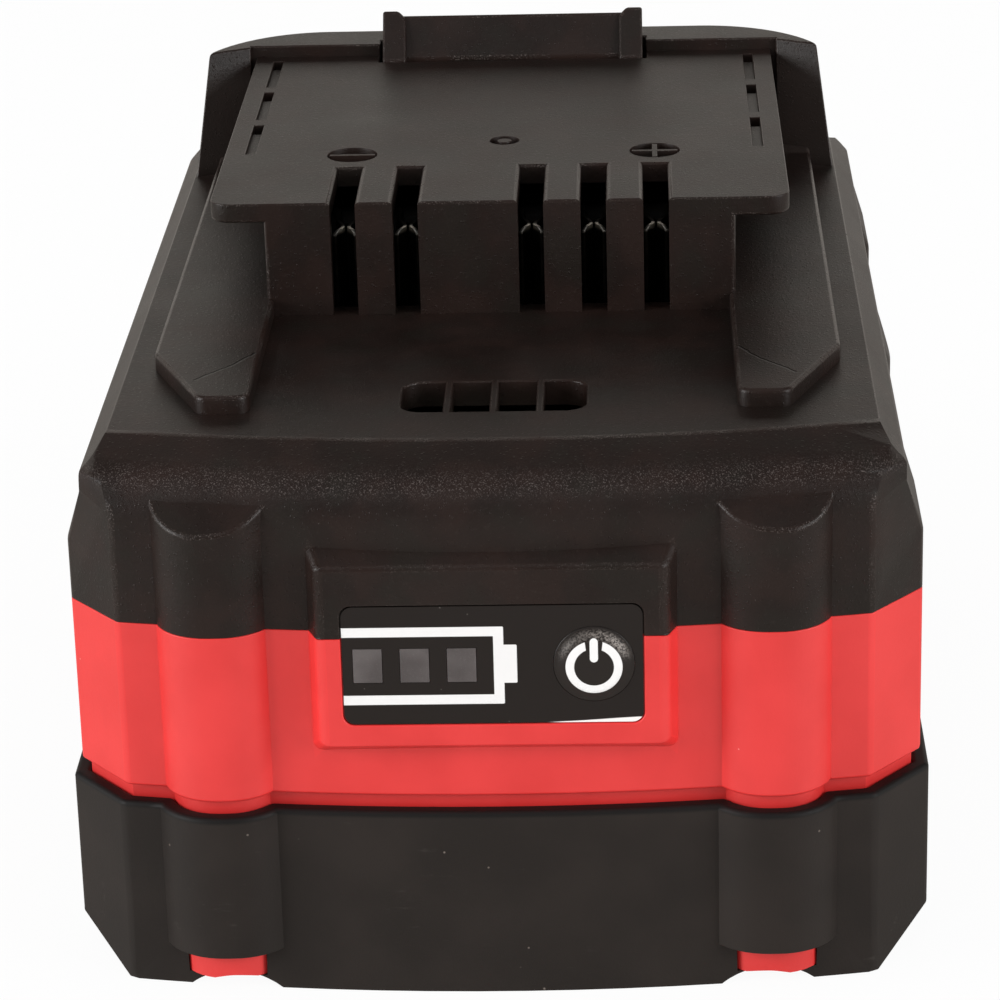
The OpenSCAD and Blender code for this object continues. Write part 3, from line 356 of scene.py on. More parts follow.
boot_black = boot_rubber("boot_black")
print("finish:", boot_black.name)

# %% [markdown]
# A mould never gives a knife-sharp edge, and the fine glints along the edges tell the eye so.
# The solids have exact sharp edges, so each visible shell is a merged copy of its solid.
# The copy's flat triangles are joined into faces, and a Bevel rounds the outer edges by a weight per edge.
# Inner corners stay sharp: they lie in shade, and rounding both kinds would tangle where they meet.
# The rounded mesh is kept, so that each edge still sharp can be marked and shade does not creep over it.


# %% Rounded copies of the shells
def pull(items, name, kind, width=1):
    """One value of every item of a mesh as a numpy array with `width` columns."""
    values = np.empty(len(items) * width, kind)
    items.foreach_get(name, values)
    return values.reshape(-1, width) if width > 1 else values


def edge_turns(mesh):
    """The turn at each edge of a closed mesh in degrees, plus on a ridge and minus in a corner.

    It is the angle between the normals of the two faces, with the sign of their cross product
    along the edge, in the direction in which the first face walks round it.
    """
    edge, vertex = pull(mesh.loops, "edge_index", np.int32), pull(mesh.loops, "vertex_index", np.int32)
    sides, normal = pull(mesh.polygons, "loop_total", np.int32), pull(mesh.polygons, "normal", np.float32, 3)
    point, ends = pull(mesh.vertices, "co", np.float32, 3), pull(mesh.edges, "vertices", np.int32, 2)
    face = np.repeat(np.arange(len(sides)), sides)
    first, second = np.argsort(edge, kind="stable").reshape(-1, 2).T
    one, two = normal[face[first]], normal[face[second]]
    walk = np.where(vertex[first] == ends[:, 0], 1, -1)[:, None] * (point[ends[:, 1]] - point[ends[:, 0]])
    turn = np.degrees(np.arccos(np.clip((one * two).sum(1), -1, 1)))
    return turn * np.sign((np.cross(one, two) * walk).sum(1))


def merged_copy(node, name):
    """A piece with a node's mesh: its loose triangles joined, and flat ones dissolved into whole faces."""
    mesh = nodes[node].data.copy()
    mesh.name = name
    work = bmesh.new()
    work.from_mesh(mesh)
    bmesh.ops.remove_doubles(work, verts=work.verts, dist=0.03 * mm)
    bmesh.ops.dissolve_limit(work, angle_limit=math.radians(0.2), verts=work.verts, edges=work.edges)
    work.to_mesh(mesh)
    work.free()
    mesh.shade_smooth()
    piece = bpy.data.objects.new(name, mesh)
    bpy.context.scene.collection.objects.link(piece)
    return piece


def moulded_copy(node, name, body, radius, boxes):
    """A merged copy whose ridges a Bevel rounds, kept as a mesh with its hard edges marked.

    A ridge is rounded by `radius` millimetres, or by the smallest radius of the boxes that hold its middle.
    """
    ridge_degrees, hard_degrees = 14, 38
    piece = merged_copy(node, name)
    mesh = piece.data
    point, ends = pull(mesh.vertices, "co", np.float32, 3), pull(mesh.edges, "vertices", np.int32, 2)
    middle = point[ends].mean(1) / mm
    middle[:, 0] = np.abs(middle[:, 0])
    size = np.where(edge_turns(mesh) > ridge_degrees, radius, 0.0)
    for low, high, inner in sorted(boxes, key=lambda box: -box[2]):
        size[((middle > low) & (middle < high)).all(1) & (size > 0)] = inner
    mesh.attributes.new("bevel_weight_edge", "FLOAT", "EDGE").data.foreach_set("value", size / size.max())
    mesh.materials.append(None)  # an empty second slot, which the Bevel's own faces take
    rounding = piece.modifiers.new("rounding", "BEVEL")
    rounding.limit_method = "WEIGHT"
    rounding.width = size.max() * mm
    rounding.segments = 3
    rounding.use_clamp_overlap = False
    rounding.material = 1
    rounded = piece.evaluated_get(bpy.context.evaluated_depsgraph_get())
    piece.data = bpy.data.meshes.new_from_object(rounded)
    piece.data.name = name
    piece.modifiers.remove(rounding)
    work = bmesh.new()
    work.from_mesh(piece.data)
    for edge in work.edges:
        edge.smooth = edge.calc_face_angle(0) < math.radians(hard_degrees)
    work.to_mesh(piece.data)
    work.free()
    even = piece.modifiers.new("even", "WEIGHTED_NORMAL")
    even.keep_sharp = True
    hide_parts(node)
    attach(piece, body)
    print(name, "ridges rounded:", int((size > 0).sum()), "faces:", len(piece.data.polygons))
    return piece


far = 60


def slab(low, high, radius):
    """A box over the whole pack between two heights."""
    return (-1, -far, low), (far, far, high), radius


# Each box has a lower corner, an upper corner and the radius of the ridges in it, in millimetres.
# Its corners give |x|, y and z, so that it stands for both sides of the pack.
inside = ((-1, -50.2, -1), (34.3, 50.2, 49), 0)
behind_gauge = ((-1, -54.2, 20), (14.5, -50, 49), 0)
seam = slab(35, 35.4, 0.12)
marks = ((11, 0, 60.5), (19, 7, 62.5), 0.05)
gate = ((-1, 0, 60.5), (3, 12, 62.5), 0.05)
dashes = ((22, -13.3, 60.5), (28.2, 41, 62.5), 0.1)
plate_edge = ((-1, -13.6, 61.5), (31, -13.2, 62), 0.1)
vent = ((-1, -44, 46), (10, -30, 52), 0.2)
gauge = ((-1, -far, 20), (14.5, -55, 40), 0.15)
deck_side = ((33.4, -58, 49.3), (35.6, 58, 51.4), 0.08)
hood = ((-1, 33, 50.6), (34.9, far, 63.5), 0.2)
front_caps = ((17.5, -58, 43), (32.5, -46, 51.5), 0.3)
rear_caps = ((16, 46, 40), (33, 58, 51.5), 0)
contact_slots = ((-1, -13.6, 50), (17, -1, 61.6), 0)
front_corner = ((32.5, -57, 46), (37.5, -43.5, 51.6), 0)
rear_corner = ((32.5, 43.5, 46), (37.5, 57, 51.6), 0)
bezel = ((14.5, -58, 21), (20, -53.5, 47), 0.8)
upper_boxes = [inside, behind_gauge, seam, marks, gate, dashes, plate_edge, vent, gauge]
upper_boxes += [deck_side, hood, front_caps, rear_caps, contact_slots, front_corner, rear_corner, bezel]
upper_shell = moulded_copy("upper_housing", "upper_shell", "pack", 0.4, upper_boxes)
dress(upper_shell, housing_black, housing_edge)
in_boot = slab(-1, 17, 0)
lower_boxes = [inside, behind_gauge, in_boot, seam, gauge, bezel]
lower_shell = moulded_copy("lower_housing", "lower_shell", "pack", 0.4, lower_boxes)
dress(lower_shell, housing_red, red_edge)
boot_sole = slab(-1, 1.3, 0)
boot_notch = slab(-1, 4.5, 0.1)
boot_skin = moulded_copy("boot", "boot_skin", "pack", 0.5, [boot_sole, boot_notch])
dress(boot_skin, boot_black, boot_black)
in_case = slab(-1, 59.3, 0)
latch_slider = moulded_copy("latch", "latch_slider", "latch", 0.25, [in_case])
dress(latch_slider, housing_black, housing_edge)

# %% [markdown]
# New pieces are surfaces on a grid: a formula gives every point from two parameters, row by row.
# One function turns such a grid into a mesh, closes its seams and poles and points its faces outwards.


# %% Surfaces from grids
def surface(name, points, around=False):
    """A piece from a grid of points in millimetres, rows by columns by 3.

    Each face joins four neighbours of the grid, and `around` also joins the last column to the first.
    """
    rows, columns = points.shape[:2]
    index = np.arange(rows * columns).reshape(rows, columns)
    if around:
        index = np.concatenate([index, index[:, :1]], axis=1)
    faces = np.stack([index[:-1, :-1], index[:-1, 1:], index[1:, 1:], index[1:, :-1]], axis=-1).reshape(-1, 4)
    mesh = bpy.data.meshes.new(name)
    mesh.from_pydata((points.reshape(-1, 3) * mm).tolist(), [], faces.tolist())
    work = bmesh.new()
    work.from_mesh(mesh)
    bmesh.ops.remove_doubles(work, verts=work.verts, dist=0.0005 * mm)
    bmesh.ops.dissolve_degenerate(work, edges=work.edges, dist=0.0001 * mm)
    bmesh.ops.recalc_face_normals(work, faces=work.faces)
    work.to_mesh(mesh)
    work.free()
    mesh.shade_smooth()
    piece = bpy.data.objects.new(name, mesh)
    bpy.context.scene.collection.objects.link(piece)
    return piece


def ease(t):
    """A smooth rise from 0 to 1 with level ends: 3 t squared minus 2 t cubed, held at 0 and 1 outside."""
    t = np.clip(t, 0, 1)
    return t * t * (3 - 2 * t)


print("ease at a quarter:", ease(0.25))


# %% [markdown]
# The gauge is read through a dark printed film with a white battery sign round three clear windows.
# A printer would lay the white ink on the back of the film.
# Here the ink is a mask worked out from x and z on the film, so its edges stay sharp at any size.

# %% Gauge film
film_dark, ink_white = (0.0135, 0.0095, 0.008, 1), (0.80, 0.79, 0.78, 1)


def rounded_box(across, up, left, right, low, high, corner):
    """1 inside a box with round corners, from the distance to the box shrunk by its corner radius."""
    out_x = abs(across - (left + right) / 2) - ((right - left) / 2 - corner) | 0
    out_z = abs(up - (low + high) / 2) - ((high - low) / 2 - corner) | 0
    reach = (out_x * out_x + out_z * out_z) ** 0.5
    return 1 - reach.step(corner - 0.03, corner + 0.03)


def gauge_film(name):
    """Dark film with the white battery sign, fine dust, and a pale paper edge at its lower right."""
    material, shader, point, (x, y, z) = paint(name, Specular_IOR_Level=0.3)
    sign_low, sign_high, sign_end, line = 28.87, 36.24, 1.0, 0.9
    outer = rounded_box(x, z, -20, sign_end, sign_low, sign_high, 0.12)
    inner = rounded_box(x, z, -20, sign_end - line, sign_low + line, sign_high - line, 0.06)
    nub = rounded_box(x, z, sign_end - 0.5, 2.15, 30.87, 34.51, 0.12)
    ink = (outer - inner | nub) & 1
    cloud = noise(point, 3.0, 4.0)
    dust = specks(point, 1.4, 0.09) & noise(point, 3.0, 2.0).step(0.5, 0.62)
    base = (dust * 0.45).blend(film_dark, (0.2, 0.18, 0.16, 1))
    base = (ink * (0.94 + 0.06 * cloud)).blend(base, ink_white)
    edge = 27.12 + 0.42 * x.step(5.0, 14.5)
    paper = (edge - z).step(0.0, 0.08) * x.step(4.6, 6.4)
    base = paper.blend(base, (0.83, 0.80, 0.78, 1))
    feed(shader, Base_Color=base, Roughness=0.4 + 0.12 * cloud)
    bump(shader, noise(point, 0.25, 3.0), 0.012, 0.4)
    return material


dress(nodes["label_film"], gauge_film("gauge_film"))
print("finish: gauge film")

# %% [markdown]
# Behind the windows lies a moulded light guide of frosted clear plastic.
# Unlit, it looks grey, a little brighter where the frosting is thick.


# %% Light guide
def frosted_guide(name):
    """Grey frosted plastic with soft clouds and a fine sparkle."""
    material, shader, point, _ = paint(name, Specular_IOR_Level=0.4)
    cloud = noise(point, 3.5, 2.0)
    frost = noise(point, 0.14, 3.0, 0.7)
    base = cloud.step(0.3, 0.7).blend(tone(74, 68, 67), tone(90, 84, 83))
    base = (frost.step(0.55, 0.7) * 0.25).blend(base, tone(112, 106, 104))
    feed(shader, Base_Color=base, Roughness=0.5 + 0.2 * frost)
    bump(shader, frost, 0.015, 0.5)
    return material


dress(nodes["light_guide"], frosted_guide("frosted_guide"))
print("finish: light guide")

# %% [markdown]
# The button is a low dome with a flat top, pressed up in the same dark film.
# It is a profile turned round the axis of the press, so the grid runs from the middle outwards.
# The power sign is printed on it: a ring, open at the top, with a bar in the opening.

# %% Gauge button
button_low, button_high = (np.array(corner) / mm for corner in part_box("gauge_button"))
button_x, button_z = (button_low[0] + button_high[0]) / 2, (button_low[2] + button_high[2]) / 2
film_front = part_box("label_film")[0][1] / mm
hole_r = 3.6


def turned_button(name):
    """The profile of the button turned round the line along y through its middle.

    The front stands 0.5 mm proud on a flat top of 2.3 mm radius, falls by a smooth rise read backwards
    to the film at the brim, and a straight skirt runs back from there to a closed rear.
    """
    brim, flat, proud = hole_r - 0.04, 2.3, 0.5
    front = film_front - 0.02
    rear = button_high[1]
    out = np.linspace(0, brim, 40)
    dome = front - proud * (1 - ease((out - flat) / (brim - flat))) - 0.06 * (1 - (out / brim) ** 2)
    radius = np.concatenate([out, np.full(5, brim), [0]])
    depth = np.concatenate([dome, np.linspace(front + 0.05, rear, 5), [rear]])
    turn = np.linspace(0, 2 * math.pi, 96, endpoint=False)
    points = np.stack(
        [
            button_x + radius[:, None] * np.cos(turn),
            np.repeat(depth[:, None], len(turn), axis=1),
            button_z + radius[:, None] * np.sin(turn),
        ],
        axis=-1,
    )
    return surface(name, points, around=True)


def button_film(name):
    """The dark film with the power sign, a ring and a bar, and painted glints on the rim above it."""
    material, shader, point, (x, y, z) = paint(name, Specular_IOR_Level=0.4)
    sign_r, half_line, bar_half = 2.12, 0.375, 0.36
    side, rise = x - button_x, z - (button_z - 0.1)
    reach = (side * side + rise * rise) ** 0.5
    ring = 1 - abs(reach - sign_r).step(half_line - 0.03, half_line + 0.03)
    opening = (1 - (abs(side) - 0.12 * rise).step(0.47, 0.53)) * rise.step(0.0, 0.1)
    bar = rounded_box(side, rise, -bar_half, bar_half, 0.48, 2.72, bar_half)
    ink = ring * (1 - opening) | bar
    grain = noise(point, 0.3, 4.0, 0.7)
    # Pale specks on the upper rim of the dome are painted highlights, stronger to the right.
    rim = reach.inside(2.6, 3.3, 0.3) * rise.step(0.3, 1.8) * (0.3 + 0.5 * side.step(-1.5, 2.2))
    rim = rim * noise(point, 0.17, 3.0, 0.6).step(0.38, 0.62)
    base = ink.blend(rim.blend(film_dark, (0.34, 0.3, 0.27, 1)), ink_white)
    feed(shader, Base_Color=base, Roughness=0.3 + 0.2 * grain)
    bump(shader, grain, 0.03, 0.5)
    return material


button_dome = turned_button("button_dome")
dress(button_dome, button_film("button_film"))
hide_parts("gauge_button")
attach(button_dome, "gauge_button")
print("button faces:", len(button_dome.data.polygons))

# %% [markdown]
# Each contact clip is one strip of sprung sheet metal, bent into a U that closes to a throat.
# It could be bent with curve tools, but a path of half widths eased from bend to bend says it directly.
# Solidify gives the sheet its thickness and Bevel breaks the sheared edges, which catch the light.

# %% Contact clips
clip_length, clip_leaf, clip_back_drop = 9.4, 0.4, 2.0


def bent_clip(name, node):
    """A U-shaped sheet: the first parameter runs along the strip, the second up it.

    Seen from above, the leaf's half width eases from the mouth to the throat and out to the shoulder,
    and two quarter circles lead into the back wall. The upper edge drops at the back and at the mouth.
    """
    low, high = (np.array(corner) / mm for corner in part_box(node))
    middle, front = (low[0] + high[0]) / 2, low[1]
    bends = [(0.0, 1.02), (1.6, 0.28), (4.4, 1.0)]
    corner = 0.5
    run = np.linspace(0, clip_length - clip_leaf / 2 - corner, 44)
    half = np.full_like(run, bends[-1][1])
    for (start, wide), (end, narrow) in reversed(list(zip(bends[:-1], bends[1:]))):
        half = np.where(run < end, wide + (narrow - wide) * ease((run - start) / (end - start)), half)
    turn = np.linspace(0, math.pi / 2, 7)[1:]
    side = np.concatenate([half, half[-1] - corner * (1 - np.cos(turn))])
    back = np.concatenate([run, run[-1] + corner * np.sin(turn)])
    across = np.concatenate([-side, side[::-1]])
    along = np.concatenate([back, back[::-1]])
    drop = clip_back_drop * ease((along - 7.2) / 1.6) + 0.35 * (1 - ease(along / 0.9))
    up = np.linspace(0, 1, 15)
    points = np.stack(
        [
            np.repeat(middle + across[:, None], len(up), axis=1),
            np.repeat(front + along[:, None], len(up), axis=1),
            low[2] + up * (high[2] - low[2] - drop[:, None]),
        ],
        axis=-1,
    )
    piece = surface(name, points)
    sheet = piece.modifiers.new("sheet", "SOLIDIFY")
    sheet.thickness, sheet.offset, sheet.use_even_offset = clip_leaf * mm, 0, True
    sheared = piece.modifiers.new("sheared", "BEVEL")
    sheared.width, sheared.segments, sheared.angle_limit = 0.05 * mm, 2, math.radians(50)
    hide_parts(node)
    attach(piece, "pack")
    return piece


def clip_metal(name, mouth, lip):
    """Plated spring metal, near black as painted shade in the slot, and bright where its upper edge is sheared
    at the mouth.
    """
    material, shader, point, (x, y, z) = paint(name, Metallic=1.0)
    slot_shade_cloud = noise(point, 1.5, 4.0, 0.6)
    # Painted shade: the metal is near black except at the top of the lips by the mouth, and a slow cloud
    # varies that shade.
    bright = z.step(lip - 0.6, lip - 0.15) * (1 - y.step(mouth + 1.5, mouth + 1.9))
    base = slot_shade_cloud.step(0.35, 0.7).blend((0.02, 0.018, 0.016, 1), (0.05, 0.045, 0.04, 1))
    base = bright.blend(base, (0.86, 0.82, 0.74, 1))
    feed(shader, Base_Color=base, Roughness=0.5 - 0.22 * bright + 0.12 * slot_shade_cloud)
    bump(shader, noise(point, 0.2, 3.0, 0.5, (1, 1, 0.15)), 0.012, 0.4)
    return material


clip_low, clip_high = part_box("contact_1")
plated_metal = clip_metal("plated_metal", clip_low[1] / mm, clip_high[2] / mm)
contact_nodes = [name for name in nodes if name.startswith("contact_")]
for place, node in enumerate(contact_nodes, 1):
    dress(bent_clip(f"clip_{place}", node), plated_metal)
print("clips:", len(contact_nodes))

# %% [markdown]
# Two wire springs push the latch up.
# Each is a round wire carried along a helix, whose end turns lie flat so that the spring stands square.
# As the latch goes down, the real coil is squashed towards its foot; here it is built at full height.

# %% Latch springs
spring_turns, wire, latch_travel = 7, 0.5, 5.0


def wound_spring(name, node):
    """A tube round a helix: the first parameter runs along the wire, the second round it.

    The helix climbs one wire thickness in each end turn and evenly between them, and the tube
    closes to a point at both ends.
    """
    low, high = (np.array(corner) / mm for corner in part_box(node))
    centre, radius = (low + high) / 2, (high[0] - low[0] - wire) / 2
    rise = high[2] - low[2] - wire
    turn = np.linspace(0, spring_turns, spring_turns * 30 + 1)
    turn = np.concatenate([turn[:1], turn, turn[-1:]])
    climb = np.interp(turn, [0, 1, spring_turns - 1, spring_turns], [0, wire, rise - wire, rise])
    thick = np.full_like(turn, wire / 2)
    thick[[0, -1]] = 0
    angle = 2 * math.pi * turn[:, None]
    ring = np.linspace(0, 2 * math.pi, 12, endpoint=False)
    reach = radius + thick[:, None] * np.cos(ring)
    points = np.stack(
        [
            centre[0] + reach * np.cos(angle),
            centre[1] + reach * np.sin(angle),
            low[2] + wire / 2 + climb[:, None] + thick[:, None] * np.sin(ring),
        ],
        axis=-1,
    )
    piece = surface(name, points, around=True)
    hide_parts(node)
    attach(piece, "pack")
    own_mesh(piece)
    return piece


def steel(name, colour, rough, scratch):
    """Bare or plated steel with a slow change of gloss and fine drawn lines.

    The lines run along the axes whose share of `scratch` is below 1.
    """
    material, shader, point, _ = paint(name, Metallic=1.0)
    cloud = noise(point, 2.0, 4.0)
    lines = noise(point, 0.3, 3.0, 0.6, scratch)
    base = cloud.step(0.3, 0.7).blend(tuple(0.82 * c for c in colour) + (1,), colour + (1,))
    feed(shader, Base_Color=base, Roughness=rough + 0.15 * cloud + 0.1 * lines)
    bump(shader, lines, 0.01, 0.4)
    return material


spring_steel = steel("spring_steel", (0.52, 0.52, 0.53), 0.25, (0.3, 0.3, 1))
for side in ("left", "right"):
    coil = wound_spring(f"coil_{side}", f"latch_spring_{side}")
    dress(coil, spring_steel)
print("spring points:", len(coil.data.vertices))

# %% [markdown]
# Inside, ten cells lie crosswise in two moulded holders.
# A cell is a steel can in a shrunk sleeve that folds over its ends and leaves the poles bare.
# The sleeve and the bare ends are told apart by the distance from the middle of the pack.


# %% Cells
def cell_sleeve(name, end):
    """A shrunk sleeve with a soft sheen, and bare steel past `end` millimetres from the middle plane."""
    material, shader, point, (x, y, z) = paint(name)
    wrinkle = noise(point, 1.2, 4.0, 0.6, (0.25, 1, 1))
    cloud = noise(point, 6.0, 3.0)
    bare = abs(x).step(end - 0.05, end + 0.05)
    base = cloud.step(0.3, 0.7).blend((0.02, 0.17, 0.22, 1), (0.03, 0.21, 0.27, 1))
    base = bare.blend(base, (0.62, 0.61, 0.6, 1))
    feed(shader, Base_Color=base, Metallic=bare, Roughness=0.34 + 0.15 * wrinkle)
    bump(shader, wrinkle, 0.03, 0.5)
    return material


cell_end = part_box("cell_1")[1][0] / mm
sleeve = cell_sleeve("sleeve", cell_end - 0.4)
cells = [name for name in nodes if name.startswith("cell_")]
for cell in cells:
    dress(nodes[cell], sleeve)
print("cells:", len(cells))

# %% [markdown]
# The cells are joined by nickel strips, spot-welded with pairs of small dents.
# The insulating sheets hide their exact places, so the dents are spots of a cell noise pressed into the strip.


# %% Joining strips
def nickel_strip(name):
    """Rolled nickel with drawn lines, small weld dents and a heat tint round them."""
    material, shader, point, _ = paint(name, Metallic=1.0)
    weld_spacing = 4.5
    lines = noise(point, 0.4, 3.0, 0.6, (1, 0.1, 1))
    weld = specks(point, weld_spacing, 0.8)
    tint = specks(point, weld_spacing, 1.6)
    base = (tint * 0.5).blend((0.66, 0.63, 0.57, 1), (0.42, 0.33, 0.22, 1))
    base = (weld * 0.7).blend(base, (0.3, 0.28, 0.25, 1))
    feed(shader, Base_Color=base, Roughness=0.28 + 0.18 * lines + 0.2 * weld)
    bump(shader, lines * 0.3 - weld, 0.06, 0.6)
    return material


nickel = nickel_strip("nickel")
strips = [name for name in nodes if name.startswith("strip_")]
for strip in strips:
    dress(nodes[strip], nickel)
print("strips:", len(strips))

# %% [markdown]
# Holders, bracket and contact carrier are plain engineering plastics, each with its own tint.
# The sheets over the strips are pressed fibre, and the ribbon is a flat flexible lead.


# %% Inner plastics
def plain_plastic(name, dark, light, rough=0.5, fibre=(1, 1, 1), grain=0.5):
    """Moulded or pressed stock: slow clouds between two colours, and a grain that `fibre` may stretch."""
    material, shader, point, _ = paint(name, Specular_IOR_Level=0.35)
    cloud = noise(point, 6.0, 4.0)
    skin = noise(point, grain, 4.0, 0.6, fibre)
    base = cloud.step(0.3, 0.7).blend(dark + (1,), light + (1,))
    base = (skin.step(0.55, 0.75) * 0.3).blend(base, tuple(min(1.0, 1.5 * c) for c in light) + (1,))
    feed(shader, Base_Color=base, Roughness=rough + 0.15 * skin)
    bump(shader, skin, 0.03, 0.5)
    return material


holder_nylon = plain_plastic("holder_nylon", (0.03, 0.031, 0.035), (0.045, 0.046, 0.052))
carrier_nylon = plain_plastic("carrier_nylon", (0.012, 0.011, 0.011), (0.02, 0.018, 0.017))
pressed_fibre = plain_plastic("pressed_fibre", (0.42, 0.36, 0.22), (0.5, 0.44, 0.28), 0.7, (1, 0.3, 1), 0.8)
ribbon_film = plain_plastic("ribbon_film", (0.42, 0.22, 0.06), (0.5, 0.28, 0.08), 0.3, (0.1, 1, 1), 0.9)
socket_ivory = plain_plastic("socket_ivory", (0.66, 0.62, 0.5), (0.74, 0.7, 0.58))
switch_black = plain_plastic("switch_black", (0.02, 0.02, 0.021), (0.03, 0.03, 0.032), 0.4)
plunger_white = plain_plastic("plunger_white", (0.6, 0.6, 0.58), (0.7, 0.7, 0.68), 0.4)
chip_epoxy = plain_plastic("chip_epoxy", (0.014, 0.014, 0.015), (0.022, 0.022, 0.023), 0.6, grain=0.15)
fuse_ceramic = plain_plastic("fuse_ceramic", (0.66, 0.65, 0.62), (0.76, 0.75, 0.72), 0.35)
bead_resin = plain_plastic("bead_resin", (0.02, 0.02, 0.022), (0.05, 0.05, 0.055), 0.2)
inner_finishes = {
    holder_nylon: ["holder_left", "holder_right", "latch_bracket"],
    carrier_nylon: ["terminal_carrier"],
    pressed_fibre: ["sheet_left", "sheet_right"],
    ribbon_film: ["gauge_ribbon"],
    socket_ivory: ["ribbon_socket"],
    switch_black: ["switch_body"],
    plunger_white: ["switch_plunger"],
    chip_epoxy: ["transistors", "control_chip"],
    fuse_ceramic: ["fuse"],
    bead_resin: ["thermistor"],
}
for finish, names in inner_finishes.items():
    for node in names:
        dress(nodes[node], finish)
print("inner finishes:", len(inner_finishes))

# %% [markdown]
# The two circuit boards are green laminate with copper tracks under the lacquer.
# Tracks run straight along x or y, so they are thin stripes, switched on in patches by noise.


# %% Circuit boards
def tracks(point, axis, patch, stretch, share):
    """Stripes 1.2 mm apart on an axis, kept where a slow noise of `patch` millimetres is above `share`."""
    half_pitch = 0.6
    stripe = axis.math("PINGPONG", axis, half_pitch).step(0.42, 0.46)
    return stripe * noise(point, patch, 1.0, 0.5, stretch).step(share, share + 0.03)


def board_lacquer(name):
    """Green lacquer over copper tracks of two directions, with bare tinned pads."""
    material, shader, point, (x, y, z) = paint(name, Coat_Weight=0.4, Coat_Roughness=0.15)
    track = tracks(point, x, 7.0, (1, 0.2, 1), 0.5) | tracks(point, y, 6.0, (0.2, 1, 1), 0.52)
    pad = specks(point, 3.6, 0.55)
    base = track.blend((0.008, 0.085, 0.04, 1), (0.016, 0.15, 0.07, 1))
    base = pad.blend(base, (0.62, 0.6, 0.56, 1))
    feed(shader, Base_Color=base, Metallic=pad, Roughness=0.35 + 0.1 * noise(point, 1.0, 3.0))
    bump(shader, track | pad, 0.03, 0.6)
    return material


lacquer = board_lacquer("lacquer")
boards = ("control_board", "gauge_board")
for board in boards:
    dress(nodes[board], lacquer)
print("boards:", len(boards))

# %% [markdown]
# Three small lamps stand on the gauge board, one behind each window.
# Each is milky resin over a yellow phosphor, so a fine cloud between the two colours is enough.


# %% Lamps of the gauge
def lamp_resin(name):
    """Milky resin and yellow phosphor, mixed by a cloud of half a millimetre."""
    material, shader, point, _ = paint(name, Coat_Weight=0.5)
    cloud = noise(point, 0.5, 3.0)
    base = cloud.step(0.35, 0.65).blend((0.72, 0.62, 0.25, 1), (0.8, 0.78, 0.7, 1))
    feed(shader, Base_Color=base, Roughness=0.3 + 0.2 * cloud)
    return material


dress(nodes["gauge_lamps"], lamp_resin("lamp_resin"))
print("finish: lamps")

# %% [markdown]
# The screws are zinc-plated steel.
# Plating is bright with a slow blue-grey change, and the driver leaves fine rings.

# %% Screws
screw_zinc = steel("screw_zinc", (0.6, 0.61, 0.62), 0.3, (1, 1, 0.3))
for node in ("case_screws", "board_screws"):
    dress(nodes[node], screw_zinc)
bare = [name for name, node in nodes.items() if not any(slot.material for slot in node.material_slots)]
print("nodes without a finish:", bare)

# %% [markdown]
# The pack stands in a light tent, as for a catalogue: a soft lamp on either side and weak ones above.
# Flat dark faces seen at a low angle then mirror the bright paper behind, and steeper ones stay dark.
# Camera rays see floor, paper and world as white, and the floor keeps a trace of the shadow.
# Mirror rays see the floor grey, the paper bright, both in a warm tone, and the world beyond them black.


# %% Floor, paper, lamps and world
def lamp(name, place, size, watts):
    """A square soft lamp at a place in metres, turned to the middle of the pack."""
    light = bpy.data.lights.new(name, "AREA")
    light.shape, light.size, light.energy = "SQUARE", size, watts
    holder = bpy.data.objects.new(name, light)
    holder.location = place
    middle = Vector((0, 0, 0.03))
    holder.rotation_euler = (middle - Vector(place)).to_track_quat("-Z", "Y").to_euler()
    bpy.context.scene.collection.objects.link(holder)


lamp("left_softbox", (-0.85, -0.35, 0.3), 0.45, 6.2)
lamp("right_softbox", (0.85, -0.45, 0.35), 0.45, 5.2)
lamp("top_softbox", (0, 0.1, 0.9), 0.5, 0.3)
lamp("front_softbox", (-0.1, -0.55, 0.75), 0.25, 0.4)


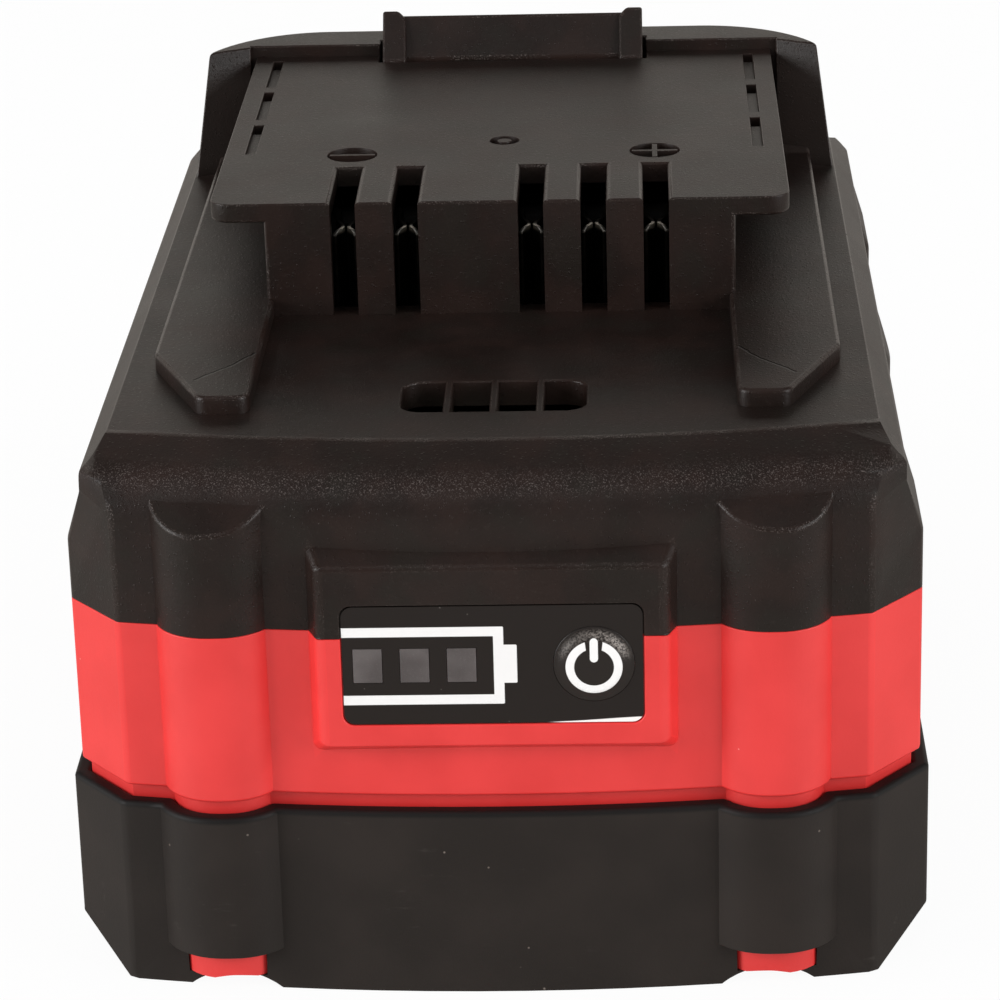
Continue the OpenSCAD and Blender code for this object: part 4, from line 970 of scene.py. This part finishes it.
def seen_by(tree, camera, mirror, other):
    """One value for camera rays, one for glossy and transmitted rays, and one for all other light."""
    path = Shade(tree).node("ShaderNodeLightPath").socket.node.outputs
    eye = Shade(tree, path["Is Camera Ray"])
    glance = Shade(tree, path["Is Glossy Ray"]) | Shade(tree, path["Is Transmission Ray"])
    return other + (camera - other) * eye + (mirror - other) * glance


warm_white = (1.0, 0.94, 0.86, 1)


def studio_white(name, camera, mirror, bright):
    """Matt pale paper that glows by the given shares: white to camera rays, and a warm tone in mirrors."""
    material, shader, point, _ = paint(name, Roughness=0.9, Base_Color=(0.8, 0.8, 0.8, 1))
    tree = material.node_tree
    colour = seen_by(tree, 0.0, 1.0, 0.0).blend((1, 1, 1, 1), warm_white)
    light = {"Color": colour, "Strength": seen_by(tree, 1.0, bright, 0.0)}
    glow = point.node("ShaderNodeEmission", None, light)
    shares = {0: seen_by(tree, camera, mirror, 0.0), 1: Shade(tree, shader.outputs[0]), 2: glow}
    mixed = point.node("ShaderNodeMixShader", None, shares)
    tree.links.new(mixed.socket, tree.nodes["Material Output"].inputs["Surface"])
    return material


def sheet_of_paper(name, corners, finish):
    """One flat sheet of the studio from its four corners in metres."""
    mesh = bpy.data.meshes.new(name)
    mesh.from_pydata(corners, [], [(0, 1, 2, 3)])
    sheet = bpy.data.objects.new(name, mesh)
    bpy.context.scene.collection.objects.link(sheet)
    dress(sheet, finish)


reach, behind, wide, tall = 6.0, 0.9, 1.2, 0.6
floor_corners = [(-reach, -reach, 0), (reach, -reach, 0), (reach, reach, 0), (-reach, reach, 0)]
sheet_of_paper("floor", floor_corners, studio_white("floor_paper", 0.95, 1.0, 0.52))
back_corners = [(wide, behind, 0), (-wide, behind, 0), (-wide, behind, tall), (wide, behind, tall)]
sheet_of_paper("backdrop", back_corners, studio_white("back_paper", 1.0, 1.0, 0.92))

world = bpy.data.worlds.new("studio")
bpy.context.scene.world = world
world.use_nodes = True
sky = world.node_tree.nodes["Background"]
sky.inputs["Color"].default_value = (1, 1, 1, 1)
ambient, mirrored = 0.72, 0.01
strength = seen_by(world.node_tree, 1.0, mirrored, ambient)
world.node_tree.links.new(strength.socket, sky.inputs["Strength"])
bpy.context.scene.view_settings.view_transform = "Standard"
print("lamps:", [light.name for light in bpy.data.lights])
